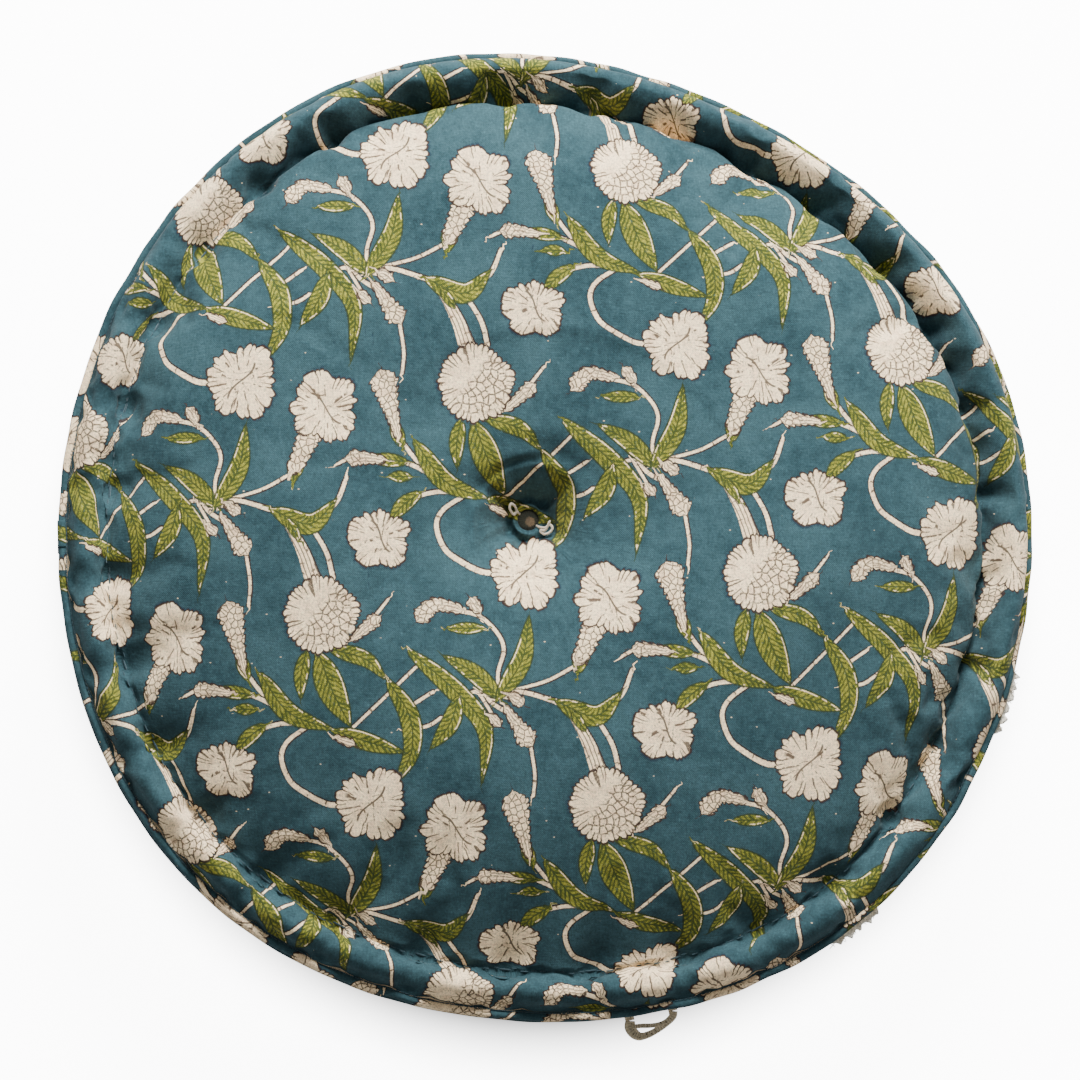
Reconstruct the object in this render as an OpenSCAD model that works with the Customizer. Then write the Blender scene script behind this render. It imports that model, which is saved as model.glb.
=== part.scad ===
// Round tufted floor cushion with rolled, stitched edges, in the way of a
// stuffed mattress. Millimetres, +Z up. The origin is on the floor under the
// middle of the cushion, and the hanging loop is on the -Y side.

/* [Cushion] */
// Diameter over the welts
cushion_d = 600; // [480:10:720]
// Height of the crown above the floor
cushion_h = 140; // [115:5:170]
// Height between the lower and the upper seam
boxing_h = 82; // [66:2:92]
// How far the boxing bulges past the pinch below each roll
boxing_bulge = 12; // [6:1:15]
// Gap between the lower roll and the floor
roll_lift = 2; // [1:0.5:4]
// Exponent of the dome's curve: a higher one has a flatter top
dome_power = 3; // [2.5:0.1:3.6]
// Rounding of the underside's edge
base_edge_r = 18; // [8:1:22]

/* [Rolled edge] */
// Diameter of the stitched roll, over the cloth
roll_d = 26; // [20:1:32]
// Width of the stitched groove between dome and roll
groove_w = 2; // [1.6:0.1:3]
// How far round the roll the groove dips, in degrees
groove_dip = 22; // [16:1:28]
// Number of stitches round each roll
roll_stitches = 32; // [16:1:48]
// Diameter of the stitching thread
thread_d = 1.4; // [0.8:0.1:1.5]
// Length of the thread that shows at each stitch
stitch_len = 9; // [5:1:12]

/* [Cloth and welt] */
// Thickness of the printed cloth
cloth_t = 1.2; // [0.8:0.1:1.6]
// Width of the turned-in seam allowances
allowance_w = 8; // [5:1:10]
// Diameter of the welt
welt_d = 4.6; // [4:0.2:6]
// Thickness of the welt's strip
welt_cloth_t = 0.8; // [0.5:0.1:1]
// Length of the lap where the welt's ends meet
welt_lap_len = 14; // [8:1:24]

/* [Tuft] */
// Place of the tuft, across
tuft_x = -12; // [-25:1:25]
// Place of the tuft, front to back
tuft_y = 10; // [-25:1:25]
// Depth of the upper button's seat below the crown
tuft_depth = 45; // [25:1:60]
// How fast the dimple flattens out away from its seat
dimple_reach = 28; // [20:1:36]
// Depth of the lower button's recess
recess_depth = 22; // [14:1:30]
// Radius of the lower recess at the floor
recess_r = 48; // [35:1:70]
// Diameter of the covered buttons
button_d = 16; // [14:1:24]
// Rise of a button's face
button_rise = 4; // [3:0.5:6]
// Thickness of a button's metal shell and back
button_metal_t = 0.8; // [0.6:0.1:1]
// Gap between a button's back and its seat
button_stand_off = 2.2; // [2:0.1:3]
// Diameter of the tufting twine
twine_d = 1.8; // [1.2:0.1:2.4]
// Radius of the button's eye, at the middle of its wire
eye_r = 2.2; // [2:0.1:3]
// Diameter of the eye's wire and of the twine's bight
eye_wire_d = 1.2; // [0.8:0.1:1.4]
// Thickness of the felt washers
washer_t = 1; // [0.6:0.1:1.2]

/* [Hanging loop] */
// Direction of the loop from the middle, in degrees from +X
loop_angle = -77; // [-90:1:-60]
// Width of the loop over its legs
loop_w = 33; // [26:1:44]
// How far the loop reaches past the welt
loop_reach = 13.5; // [12:0.5:20]
// Width of the tape
tape_w = 6; // [5:0.5:7]
// Thickness of the tape
tape_t = 2; // [1.2:0.1:2.4]
// How deep the tape's ends are sewn in
tape_grip = 4; // [3:0.5:6]

/* [Hand-closed opening] */
// First end of the filling opening, in degrees from +X
opening_from = -55.5; // [-65:0.5:-45]
// Last end of the filling opening
opening_to = -15.5; // [-30:0.5:-5]
// How far the frayed selvedge peeps out past the welt
selvedge_out = 1.5; // [0.5:0.5:2]
// Thickness of the selvedge
selvedge_t = 0.8; // [0.4:0.1:1]
// Spacing of the closing stitches
closing_pitch = 10; // [6:1:16]

/* [Filling and fits] */
// Thickness of the base layer
base_batt_h = 36; // [28:1:40]
// Thickness of the middle layer
middle_batt_h = 34; // [26:1:40]
// Thickness of the upper layer
upper_batt_h = 32; // [24:1:36]
// Clearance between soft layers
layer_gap = 0.3; // [0.2:0.05:0.5]
// Clearance between pieces that are sewn against each other
seam_gap = 0.1; // [0.05:0.05:0.2]
// Room left round the roll's wadding for the stitches
pinch_gap = 1; // [0.9:0.1:1.5]
// Clearance round a thread in its needle hole
needle_gap = 0.2; // [0.1:0.05:0.4]
// Clearance round a button's eye in its shank hole
shank_gap = 0.6; // [0.5:0.1:1]

/* [Hidden] */

round_fn = 96;
small_fn = 32;

roll_r = roll_d / 2;
welt_r = welt_d / 2;
welt_ring_r = cushion_d / 2 - welt_r;
roll_ring_r = cushion_d / 2 - welt_d - seam_gap - roll_r;
low_seam_z = roll_lift + roll_r;
top_seam_z = low_seam_z + boxing_h;
mid_z = (low_seam_z + top_seam_z) / 2;

// The groove: the lowest point of the cloth between dome and roll
groove_drop = roll_r * sin(groove_dip);
groove_z = top_seam_z - groove_drop;
low_groove_z = low_seam_z + groove_drop;
dome_r = roll_ring_r - roll_r - groove_w;
base_round = min(base_edge_r, low_groove_z - cloth_t);

// The pinch: where the boxing leaves the roll, seen from the roll's middle
pinch_angle = -115;
// How much further round the roll its cloth runs, to meet the cloth it joins
join_angle = 8;
pinch_r = roll_ring_r + roll_r * cos(pinch_angle);
pinch_z = top_seam_z + roll_r * sin(pinch_angle);
pinch_half_h = pinch_z - mid_z;
bulge_r = (pinch_half_h * pinch_half_h + boxing_bulge * boxing_bulge) / (2 * boxing_bulge);
bulge_ring_r = pinch_r + boxing_bulge - bulge_r;

// Seam stack: the strip lies between the two allowances
stack_half_t = welt_cloth_t / 2 + seam_gap + cloth_t;
seam_end_angle = asin((welt_cloth_t / 2 + seam_gap) / roll_r);
allowance_in_r = roll_ring_r + roll_r - allowance_w;

// One stitch, from the bar in the groove to the bar under the roll
thread_r = thread_d / 2;
groove_bar = [dome_r + groove_w * 0.6, groove_z + thread_r + layer_gap];
under_bar_out = 4;
under_bar_angle = -30;
pinch_bar = [pinch_r + under_bar_out * cos(under_bar_angle),
             pinch_z + under_bar_out * sin(under_bar_angle)];
leg_run = pinch_bar[0] - groove_bar[0];
leg_drop = groove_bar[1] - pinch_bar[1];
leg_len = sqrt(leg_run * leg_run + leg_drop * leg_drop);
leg_tilt = atan2(leg_run, -leg_drop);

// Tuft
seat_z = cushion_h - tuft_depth;
button_r = button_d / 2;
seat_r = button_r + 3;
eye_wire_r = eye_wire_d / 2;
shank_hole_r = eye_r + eye_wire_r + shank_gap;
dimple_end = 4 * dimple_reach;
dimple_full = tuft_depth / (1 - exp(-4));
cap_r = (button_r * button_r + button_rise * button_rise) / (2 * button_rise);
cap_centre_z = button_stand_off + button_rise - cap_r;
cover_t = 0.6;
back_z = button_stand_off + button_metal_t;
cap_in_r = cap_r - cover_t - seam_gap;
back_r = sqrt(cap_in_r * cap_in_r - pow(back_z - cap_centre_z, 2)) - seam_gap;
eye_z = button_stand_off - eye_r;
tail_ring_r = (button_r + seat_r) / 2;
tail_r = 0.6;
tail_sweep = 70;
tail_angle = 150;
knot_r = shank_hole_r - shank_gap;
knot_rise = 14;

// Hanging loop
hinge_r = cushion_d / 2 + tape_t / 2 + layer_gap;
loop_z = low_seam_z - welt_r - layer_gap - tape_t / 2;
loop_start = tape_t / 2 + layer_gap;
loop_len = cushion_d / 2 + loop_reach - hinge_r;
loop_corner = tape_w * 0.75;
roll_half_at_loop = sqrt(roll_r * roll_r - pow(low_seam_z - loop_z, 2));
tape_end_r = roll_ring_r + roll_half_at_loop - tape_grip;

// Selvedge
selvedge_top = top_seam_z - welt_r - layer_gap;
selvedge_drop = top_seam_z - selvedge_top + selvedge_t;
selvedge_in_r = roll_ring_r + sqrt(roll_r * roll_r - pow(selvedge_drop, 2)) + 2 * layer_gap;
closing_r = 0.4;
closing_arc = (opening_to - opening_from) * PI / 180 * cushion_d / 2;
closing_count = floor(closing_arc / closing_pitch);

// Filling
fill_r = dome_r - cloth_t - layer_gap;
fill_bulge_r = bulge_r - 3 * cloth_t - 2 * layer_gap;
base_top = cloth_t + layer_gap + base_batt_h;
middle_top = base_top + layer_gap + middle_batt_h;
upper_top = middle_top + layer_gap + upper_batt_h;

teal = [0.24, 0.43, 0.50];
cream = [0.89, 0.82, 0.75];
tape_colour = [0.84, 0.78, 0.67];
thread_colour = [0.16, 0.28, 0.32];
wadding = [0.93, 0.91, 0.86];

function dome_point(a, inset) =
    [(dome_r - inset) * pow(sin(a), 2 / dome_power),
     groove_z + (cushion_h - inset - groove_z) * cos(a)];

function dimple_point(s, grow) =
    [seat_r + grow + s, seat_z - grow + dimple_full * (1 - exp(-s / dimple_reach))];

function recess_point(u, grow) =
    [seat_r + grow + u * (recess_r - seat_r), grow + recess_depth * pow(1 - u, 1.6)];

// ---- outlines in the (radius, height) plane

module dome_outline(inset, foot_z) {
    polygon(concat([[0, foot_z], [dome_r - inset, foot_z]],
                   [for (a = [90:-5:5]) dome_point(a, inset)],
                   [[0, cushion_h - inset]]));
}

module base_outline(inset, head_z) {
    flat_r = dome_r - base_round;
    translate([0, inset]) square([flat_r, head_z - inset]);
    translate([0, base_round]) square([dome_r - inset, head_z - base_round]);
    intersection() {
        translate([flat_r, base_round]) circle(base_round - inset, $fn = round_fn);
        translate([flat_r, 0]) square(base_round);
    }
}

module sector(from, to, reach) {
    steps = 12;
    polygon(concat([[0, 0]], [for (i = [0:steps]) let (a = from + (to - from) * i / steps)
                              [reach * cos(a), reach * sin(a)]]));
}

// Cloth round the roll, from one angle to another, seen from the roll's middle
module roll_skin(from, to) {
    translate([roll_ring_r, top_seam_z]) intersection() {
        difference() {
            circle(roll_r, $fn = round_fn);
            circle(roll_r - cloth_t, $fn = round_fn);
        }
        sector(from, to, roll_d);
    }
}

module allowance(z_from) {
    edge_r = roll_ring_r + (roll_r - cloth_t / 2) * cos(seam_end_angle);
    translate([allowance_in_r, z_from]) square([edge_r - allowance_in_r, cloth_t]);
}

// The upper roll's cloth that belongs to the panel; the lower one is its mirror
module panel_edge() {
    roll_skin(seam_end_angle, 180 + groove_dip + join_angle);
    allowance(top_seam_z + welt_cloth_t / 2 + seam_gap);
    floor_end = roll_ring_r - (roll_r - cloth_t / 2) * cos(groove_dip + join_angle);
    translate([dome_r - cloth_t, groove_z - cloth_t])
        square([floor_end - dome_r + cloth_t, cloth_t]);
}

module boxing_edge() {
    roll_skin(pinch_angle - join_angle, -seam_end_angle);
    allowance(top_seam_z - welt_cloth_t / 2 - seam_gap - cloth_t);
}

module bulge_band(outer_r, inner_r, half_h) {
    intersection() {
        translate([bulge_ring_r, mid_z]) difference() {
            circle(outer_r, $fn = round_fn);
            circle(inner_r, $fn = round_fn);
        }
        translate([bulge_ring_r, mid_z - half_h]) square([2 * outer_r, 2 * half_h]);
    }
}

// ---- helpers

module at_tuft(z) {
    translate([tuft_x, tuft_y, z]) children();
}

module to_low_edge() {
    translate([0, 0, 2 * mid_z]) mirror([0, 0, 1]) children();
}

module dimple(grow) {
    steps = 14;
    top_z = cushion_h + tuft_depth;
    at_tuft(0) rotate_extrude($fn = round_fn) polygon(concat(
        [[0, seat_z - grow], [seat_r + grow, seat_z - grow]],
        [for (i = [1:steps]) dimple_point(dimple_end * pow(i / steps, 2), grow)],
        [[seat_r + grow + dimple_end, top_z], [0, top_z]]));
}

module recess(grow) {
    steps = 8;
    at_tuft(0) rotate_extrude($fn = round_fn) polygon(concat(
        [[0, -recess_depth], [recess_r + grow, -recess_depth]],
        [for (i = [steps:-1:0]) recess_point(i / steps, grow)],
        [[0, recess_depth + grow]]));
}

module shank_channel(extra) {
    at_tuft(-1) cylinder(h = cushion_h, r = shank_hole_r + extra, $fn = small_fn);
}

module along_stitches() {
    for (i = [0:roll_stitches - 1]) rotate([0, 0, (i + 0.5) * 360 / roll_stitches]) children();
}

module stitch_leg(r, over) {
    translate([groove_bar[0], 0, groove_bar[1]]) rotate([0, leg_tilt, 0])
        translate([0, 0, -over]) cylinder(h = leg_len + 2 * over, r = r, $fn = small_fn);
}

module stitch() {
    stitch_leg(thread_r, 0);
    for (bar = [groove_bar, pinch_bar])
        translate([bar[0], 0, bar[1]]) rotate([90, 0, 0])
            cylinder(h = stitch_len, r = thread_r, center = true, $fn = small_fn);
}

module needle_holes() {
    along_stitches() stitch_leg(thread_r + needle_gap, thread_d);
}

// ---- cover

module top_panel() color(teal) difference() {
    union() {
        difference() {
            rotate_extrude($fn = round_fn) dome_outline(0, groove_z - cloth_t);
            dimple(0);
            difference() {
                rotate_extrude($fn = round_fn) dome_outline(cloth_t, groove_z - 2 * cloth_t);
                dimple(cloth_t);
            }
        }
        rotate_extrude($fn = round_fn) panel_edge();
    }
    shank_channel(0);
    needle_holes();
}

module bottom_panel() color(teal) difference() {
    union() {
        difference() {
            rotate_extrude($fn = round_fn) base_outline(0, low_groove_z + cloth_t);
            recess(0);
            difference() {
                rotate_extrude($fn = round_fn) base_outline(cloth_t, low_groove_z + 2 * cloth_t);
                recess(cloth_t);
            }
        }
        to_low_edge() rotate_extrude($fn = round_fn) panel_edge();
    }
    shank_channel(0);
    to_low_edge() needle_holes();
    tape_slots();
}

// One of the boxing's two strips; they meet in two upright seams
module boxing_half(start) {
    join_gap = seam_gap / roll_ring_r * 180 / PI;
    color(teal) difference() {
        rotate([0, 0, start + join_gap / 2]) rotate_extrude(angle = 180 - join_gap, $fn = round_fn) {
            boxing_edge();
            translate([0, 2 * mid_z]) mirror([0, 1]) boxing_edge();
            bulge_band(bulge_r, bulge_r - cloth_t, pinch_half_h + cloth_t);
        }
        needle_holes();
        to_low_edge() needle_holes();
    }
}

module front_boxing() boxing_half(180);

module back_boxing() boxing_half(0);

// The turned-in plies behind the two upright seams
module boxing_seam_plies() {
    ply_angle = 2 * allowance_w / (cushion_d / 2) * 180 / PI;
    ply_r = bulge_r - cloth_t - seam_gap;
    color(teal) for (side = [0, 180]) rotate([0, 0, side - ply_angle / 2])
        rotate_extrude(angle = ply_angle, $fn = round_fn)
            bulge_band(ply_r, ply_r - 2 * cloth_t, pinch_half_h - under_bar_out);
}

module welt(z) {
    lap_angle = welt_lap_len / welt_ring_r * 180 / PI;
    bore_r = welt_r - welt_cloth_t;
    color(teal) {
        rotate_extrude($fn = round_fn) {
            translate([welt_ring_r, z]) difference() {
                circle(welt_r, $fn = round_fn);
                circle(bore_r, $fn = round_fn);
            }
            translate([allowance_in_r, z - welt_cloth_t / 2])
                square([welt_ring_r - welt_r + welt_cloth_t / 2 - allowance_in_r, welt_cloth_t]);
        }
        rotate([0, 0, 180 - lap_angle / 2]) rotate_extrude(angle = lap_angle, $fn = round_fn)
            translate([welt_ring_r, z]) intersection() {
                difference() {
                    circle(welt_r + welt_cloth_t, $fn = round_fn);
                    circle(welt_r - welt_cloth_t / 2, $fn = round_fn);
                }
                translate([0, -welt_d]) square(2 * welt_d);
            }
    }
}

module top_welt() welt(top_seam_z);

module bottom_welt() welt(low_seam_z);

module welt_cord(z) color(wadding) rotate_extrude($fn = round_fn)
    translate([welt_ring_r, z]) circle(welt_r - welt_cloth_t - seam_gap, $fn = small_fn);

module top_welt_cord() welt_cord(top_seam_z);

module bottom_welt_cord() welt_cord(low_seam_z);

module top_roll_stitches() color(thread_colour) along_stitches() stitch();

module bottom_roll_stitches() color(thread_colour) to_low_edge() along_stitches() stitch();

// ---- filling

module roll_wadding(z) rotate_extrude($fn = round_fn) difference() {
    translate([roll_ring_r, z]) circle(roll_r - cloth_t - pinch_gap, $fn = round_fn);
    translate([allowance_in_r - layer_gap, z - stack_half_t - layer_gap])
        square([2 * allowance_w, 2 * (stack_half_t + layer_gap)]);
}

module top_roll_wadding() color(wadding) roll_wadding(top_seam_z);

module bottom_roll_wadding() color(wadding) difference() {
    roll_wadding(low_seam_z);
    tape_slots();
}

module fill_outline() {
    inset = cloth_t + layer_gap;
    dome_outline(inset, mid_z);
    base_outline(inset, mid_z + layer_gap);
    intersection() {
        translate([bulge_ring_r, mid_z]) circle(fill_bulge_r, $fn = round_fn);
        translate([fill_r - roll_d, mid_z - pinch_half_h + under_bar_out])
            square([4 * roll_d, 2 * (pinch_half_h - under_bar_out)]);
    }
}

module batt(from, to) color(wadding) difference() {
    rotate_extrude($fn = round_fn) intersection() {
        fill_outline();
        translate([0, from]) square([cushion_d / 2, to - from]);
    }
    dimple(cloth_t + layer_gap);
    recess(cloth_t + layer_gap);
    shank_channel(layer_gap);
}

module base_batt() batt(0, base_top);

module middle_batt() batt(base_top + layer_gap, middle_top);

module upper_batt() batt(middle_top + layer_gap, upper_top);

module crown_pad() batt(upper_top + layer_gap, cushion_h);

// ---- tuft; a button's own frame stands on its seat, and +Z is away from the cushion

module at_top_seat() at_tuft(seat_z) children();

module at_low_seat() at_tuft(recess_depth) mirror([0, 0, 1]) children();

module wire_ring() rotate_extrude($fn = small_fn)
    translate([eye_r, 0]) circle(eye_wire_r, $fn = small_fn);

module twine_bight() translate([0, 0, eye_z - eye_r]) rotate([90, 0, 0]) wire_ring();

module tuft_twine() color(cream) {
    at_top_seat() twine_bight();
    at_low_seat() twine_bight();
    low_end = recess_depth - eye_z + 2 * eye_r;
    high_end = seat_z + eye_z - 2 * eye_r;
    at_tuft(low_end) cylinder(h = high_end - low_end, r = twine_d / 2, $fn = small_fn);
}

module twine_knot() color(cream) at_tuft(recess_depth + knot_rise) difference() {
    sphere(knot_r, $fn = small_fn);
    cylinder(h = 3 * knot_r, r = twine_d / 2 + seam_gap / 2, center = true, $fn = small_fn);
}

// The twine's two cut ends, curled beside the upper button
module tuft_tails() color(cream) at_tuft(seat_z + tail_r + seam_gap) for (side = [0, 180])
    rotate([0, 0, tail_angle + side - tail_sweep / 2]) rotate_extrude(angle = tail_sweep, $fn = round_fn)
        translate([tail_ring_r, 0]) circle(tail_r, $fn = small_fn);

module washer() color(wadding) translate([0, 0, seam_gap]) difference() {
    cylinder(h = washer_t, r = back_r, $fn = round_fn);
    translate([0, 0, -washer_t]) cylinder(h = 3 * washer_t, r = shank_hole_r, $fn = round_fn);
}

module top_washer() at_top_seat() washer();

module bottom_washer() at_low_seat() washer();

module cap_layer(outer_r, thickness, from_z) rotate_extrude($fn = round_fn) intersection() {
    translate([0, cap_centre_z]) difference() {
        circle(outer_r, $fn = round_fn);
        circle(outer_r - thickness, $fn = round_fn);
    }
    translate([0, from_z]) square(button_d);
}

module button_cover() color(teal) cap_layer(cap_r, cover_t, button_stand_off);

module button_shell() color("silver") cap_layer(cap_in_r, button_metal_t, back_z + seam_gap);

module button_back() color("silver") {
    translate([0, 0, button_stand_off]) cylinder(h = button_metal_t, r = back_r, $fn = round_fn);
    translate([0, 0, eye_z]) rotate([0, 90, 0]) wire_ring();
}

module top_button_cover() at_top_seat() button_cover();

module top_button_shell() at_top_seat() button_shell();

module top_button_back() at_top_seat() button_back();

module bottom_button_cover() at_low_seat() button_cover();

module bottom_button_shell() at_low_seat() button_shell();

module bottom_button_back() at_low_seat() button_back();

// ---- hanging loop; its own frame has +X outwards and starts at radius 0

module at_loop(z) rotate([0, 0, loop_angle]) translate([0, 0, z]) children();

module tape_legs(from_r, to_r, grow) for (side = [-1, 1])
    translate([from_r, side * (loop_w - tape_w) / 2 - tape_w / 2 - grow, -tape_t / 2 - grow])
        cube([to_r - from_r, tape_w + 2 * grow, tape_t + 2 * grow]);

module tape_slots() at_loop(loop_z)
    tape_legs(tape_end_r - layer_gap, cushion_d / 2, seam_gap);

module loop_ends() color(tape_colour) at_loop(loop_z)
    tape_legs(tape_end_r, hinge_r - layer_gap, 0);

module loop_bight_outline() difference() {
    union() {
        translate([loop_start, -loop_w / 2]) square([loop_len - loop_corner - loop_start, loop_w]);
        translate([loop_start, loop_corner - loop_w / 2])
            square([loop_len - loop_start, loop_w - 2 * loop_corner]);
        for (side = [-1, 1]) translate([loop_len - loop_corner, side * (loop_w / 2 - loop_corner)])
            circle(loop_corner, $fn = small_fn);
    }
    translate([-loop_start, tape_w - loop_w / 2])
        square([loop_len + loop_start - tape_w, loop_w - 2 * tape_w]);
}

module hang_loop() color(tape_colour) at_loop(loop_z - tape_t / 2)
    translate([hinge_r, 0, 0]) linear_extrude(tape_t) loop_bight_outline();

// Close stitches across the tape's ends, underneath
module loop_bar_tacks() {
    tack = [1.2, tape_w - 1.5, 0.5];
    color(thread_colour) at_loop(loop_z - tape_t / 2 - seam_gap - tack[2])
        for (side = [-1, 1]) translate([cushion_d / 2 - tack[0], side * (loop_w - tape_w) / 2 - tack[1] / 2, 0])
            cube(tack);
}

// ---- hand-closed opening

module selvedge_strip() color(cream) rotate([0, 0, opening_from])
    rotate_extrude(angle = opening_to - opening_from, $fn = round_fn)
        translate([selvedge_in_r, selvedge_top - selvedge_t])
            square([cushion_d / 2 + selvedge_out - selvedge_in_r, selvedge_t]);

module closing_stitches() {
    bar_z = selvedge_top - selvedge_t - seam_gap - closing_r;
    bar_len = closing_pitch * 0.45;
    color(thread_colour) for (i = [0:closing_count - 1])
        rotate([0, 0, opening_from + (i + 0.5) * (opening_to - opening_from) / closing_count])
            translate([welt_ring_r, 0, bar_z]) rotate([90, 0, 0])
                cylinder(h = bar_len, r = closing_r, center = true, $fn = small_fn);
}

top_panel();
bottom_panel();
front_boxing();
back_boxing();
boxing_seam_plies();
top_welt();
bottom_welt();
top_welt_cord();
bottom_welt_cord();
top_roll_wadding();
bottom_roll_wadding();
top_roll_stitches();
bottom_roll_stitches();
base_batt();
middle_batt();
upper_batt();
crown_pad();
tuft_twine();
twine_knot();
tuft_tails();
top_washer();
bottom_washer();
top_button_cover();
top_button_shell();
top_button_back();
bottom_button_cover();
bottom_button_shell();
bottom_button_back();
hang_loop();
loop_ends();
loop_bar_tacks();
selvedge_strip();
closing_stitches();
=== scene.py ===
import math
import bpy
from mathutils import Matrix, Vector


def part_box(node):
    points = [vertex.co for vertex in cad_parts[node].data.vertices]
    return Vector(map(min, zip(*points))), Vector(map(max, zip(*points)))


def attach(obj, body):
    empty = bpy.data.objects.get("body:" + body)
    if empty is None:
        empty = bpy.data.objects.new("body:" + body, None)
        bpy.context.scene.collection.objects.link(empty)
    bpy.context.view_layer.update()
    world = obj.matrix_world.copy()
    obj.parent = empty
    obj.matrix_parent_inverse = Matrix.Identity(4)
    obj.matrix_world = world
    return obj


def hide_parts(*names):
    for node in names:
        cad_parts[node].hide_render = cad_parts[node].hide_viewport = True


bl_info = {
    "name": "Round Tufted Floor Cushion",
    "version": (1, 0, 0),
    "blender": (4, 5, 0),
    "location": "View3D > Sidebar > Cushion",
    "description": "Builds a block-printed, mattress-stitched floor cushion on its packed CAD frame",
    "category": "Object",
}

import bmesh
import bpy
import numpy as np
from mathutils import Matrix, Vector

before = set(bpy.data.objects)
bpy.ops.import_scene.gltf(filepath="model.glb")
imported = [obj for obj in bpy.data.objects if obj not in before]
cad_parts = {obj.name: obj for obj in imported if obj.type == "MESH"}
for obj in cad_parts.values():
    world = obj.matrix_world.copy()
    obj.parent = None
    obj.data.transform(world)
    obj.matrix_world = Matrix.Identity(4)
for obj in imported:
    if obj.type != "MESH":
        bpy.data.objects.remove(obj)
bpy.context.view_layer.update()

MM = 0.001
SEGMENTS = 288
STITCHES = 32
WELT_RING_R = 297.7
SEAM_R = 295.15
SEAM_Z = {"top": 97.0, "low": 15.0}
MID_Z = 56.0
TUFT = np.array([-12.0, 10.0])
LOOP_ANGLE = -77.0
LOOP_FEET = (-14.0, 13.4)
OPENING = (-55.4, -15.6)
BOXING_CLOTH_R = 290.0
WELT_CLOTH_WIDE = 0.0165
OFF_FLOOR = 0.0002
PART_HELD = 0.35


# ---- settings a maker would change

def length(name, description, default, **more):
    return bpy.props.FloatProperty(name=name, description=description, default=default,
                                   unit="LENGTH", precision=4, **more)


def tint(name, description, default):
    return bpy.props.FloatVectorProperty(name=name, description=description, default=default,
                                         subtype="COLOR", size=3, min=0.0, max=1.0)


class CushionCasing(bpy.types.PropertyGroup):
    swell: bpy.props.FloatProperty(name="Swell", description="Pressure that fills the casing", default=3.0,
                                   min=0.0, max=20.0)
    slack: bpy.props.FloatProperty(name="Slack", description="Extra cloth that gathers at the stitches",
                                   default=0.025, min=0.0, max=0.1)
    cap: length("Cap", "Furthest that the simulation may move the cloth", 0.007, min=0.0)
    frames: bpy.props.IntProperty(name="Frames", description="Simulation steps", default=18, min=2, max=60)
    pucker: length("Pucker", "Depth of the folds at the edge stitches", 0.0029, min=0.0)
    dimple: length("Dimple", "Depth of the centre tuft", 0.045, min=0.0)


class CushionPrint(bpy.types.PropertyGroup):
    teal: tint("Ground", "Colour of the printed ground", (0.031, 0.073, 0.085))
    teal_deep: tint("Deep ground", "Ground where the dye took more", (0.014, 0.041, 0.050))
    cream: tint("Flower", "Colour of the flowers and stems", (0.950, 0.745, 0.470))
    cream_warm: tint("Flower shade", "Warm shade inside the flowers", (0.800, 0.590, 0.370))
    leaf: tint("Leaf", "Middle green of the leaves", (0.070, 0.086, 0.010))
    leaf_light: tint("Leaf light", "Yellow-green strokes on the leaves", (0.300, 0.290, 0.036))
    leaf_dark: tint("Leaf vein", "Dark green of the veins", (0.032, 0.048, 0.013))
    outline: tint("Outline", "Dark outline block", (0.028, 0.013, 0.010))
    indigo: tint("Misprint", "Indigo smears beside the flowers", (0.010, 0.024, 0.040))


class CushionTrim(bpy.types.PropertyGroup):
    welt_r: length("Welt radius", "Radius of the covered cord at the seams", 0.0023, min=0.0005)
    thread_r: length("Thread radius", "Radius of the edge stitches", 0.0006, min=0.0001)
    tape: tint("Tape", "Colour of the loop", (0.860, 0.740, 0.520))
    twine: tint("Twine", "Colour of the tufting twine", (0.720, 0.630, 0.500))


class CushionStage(bpy.types.PropertyGroup):
    distance: length("Distance", "Camera height above the floor", 7.5, min=0.5)
    lens: bpy.props.FloatProperty(name="Lens", description="Camera lens", default=403.0, unit="CAMERA")
    key: bpy.props.FloatProperty(name="Key light", description="Strength of the main light", default=235.0,
                                 unit="POWER")
    fill: bpy.props.FloatProperty(name="Fill", description="Strength of the even light", default=0.38)
    floor: tint("Floor", "Floor colour", (0.95, 0.95, 0.95))
    # Strength of the floor's camera-only glow; where it fades out round the cushion it leaves a painted
    # shadow.
    glow_outside_painted_shadow: bpy.props.FloatProperty(name="Glow", description="How far the floor is overexposed", default=11.0)


# ---- node helpers

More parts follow.
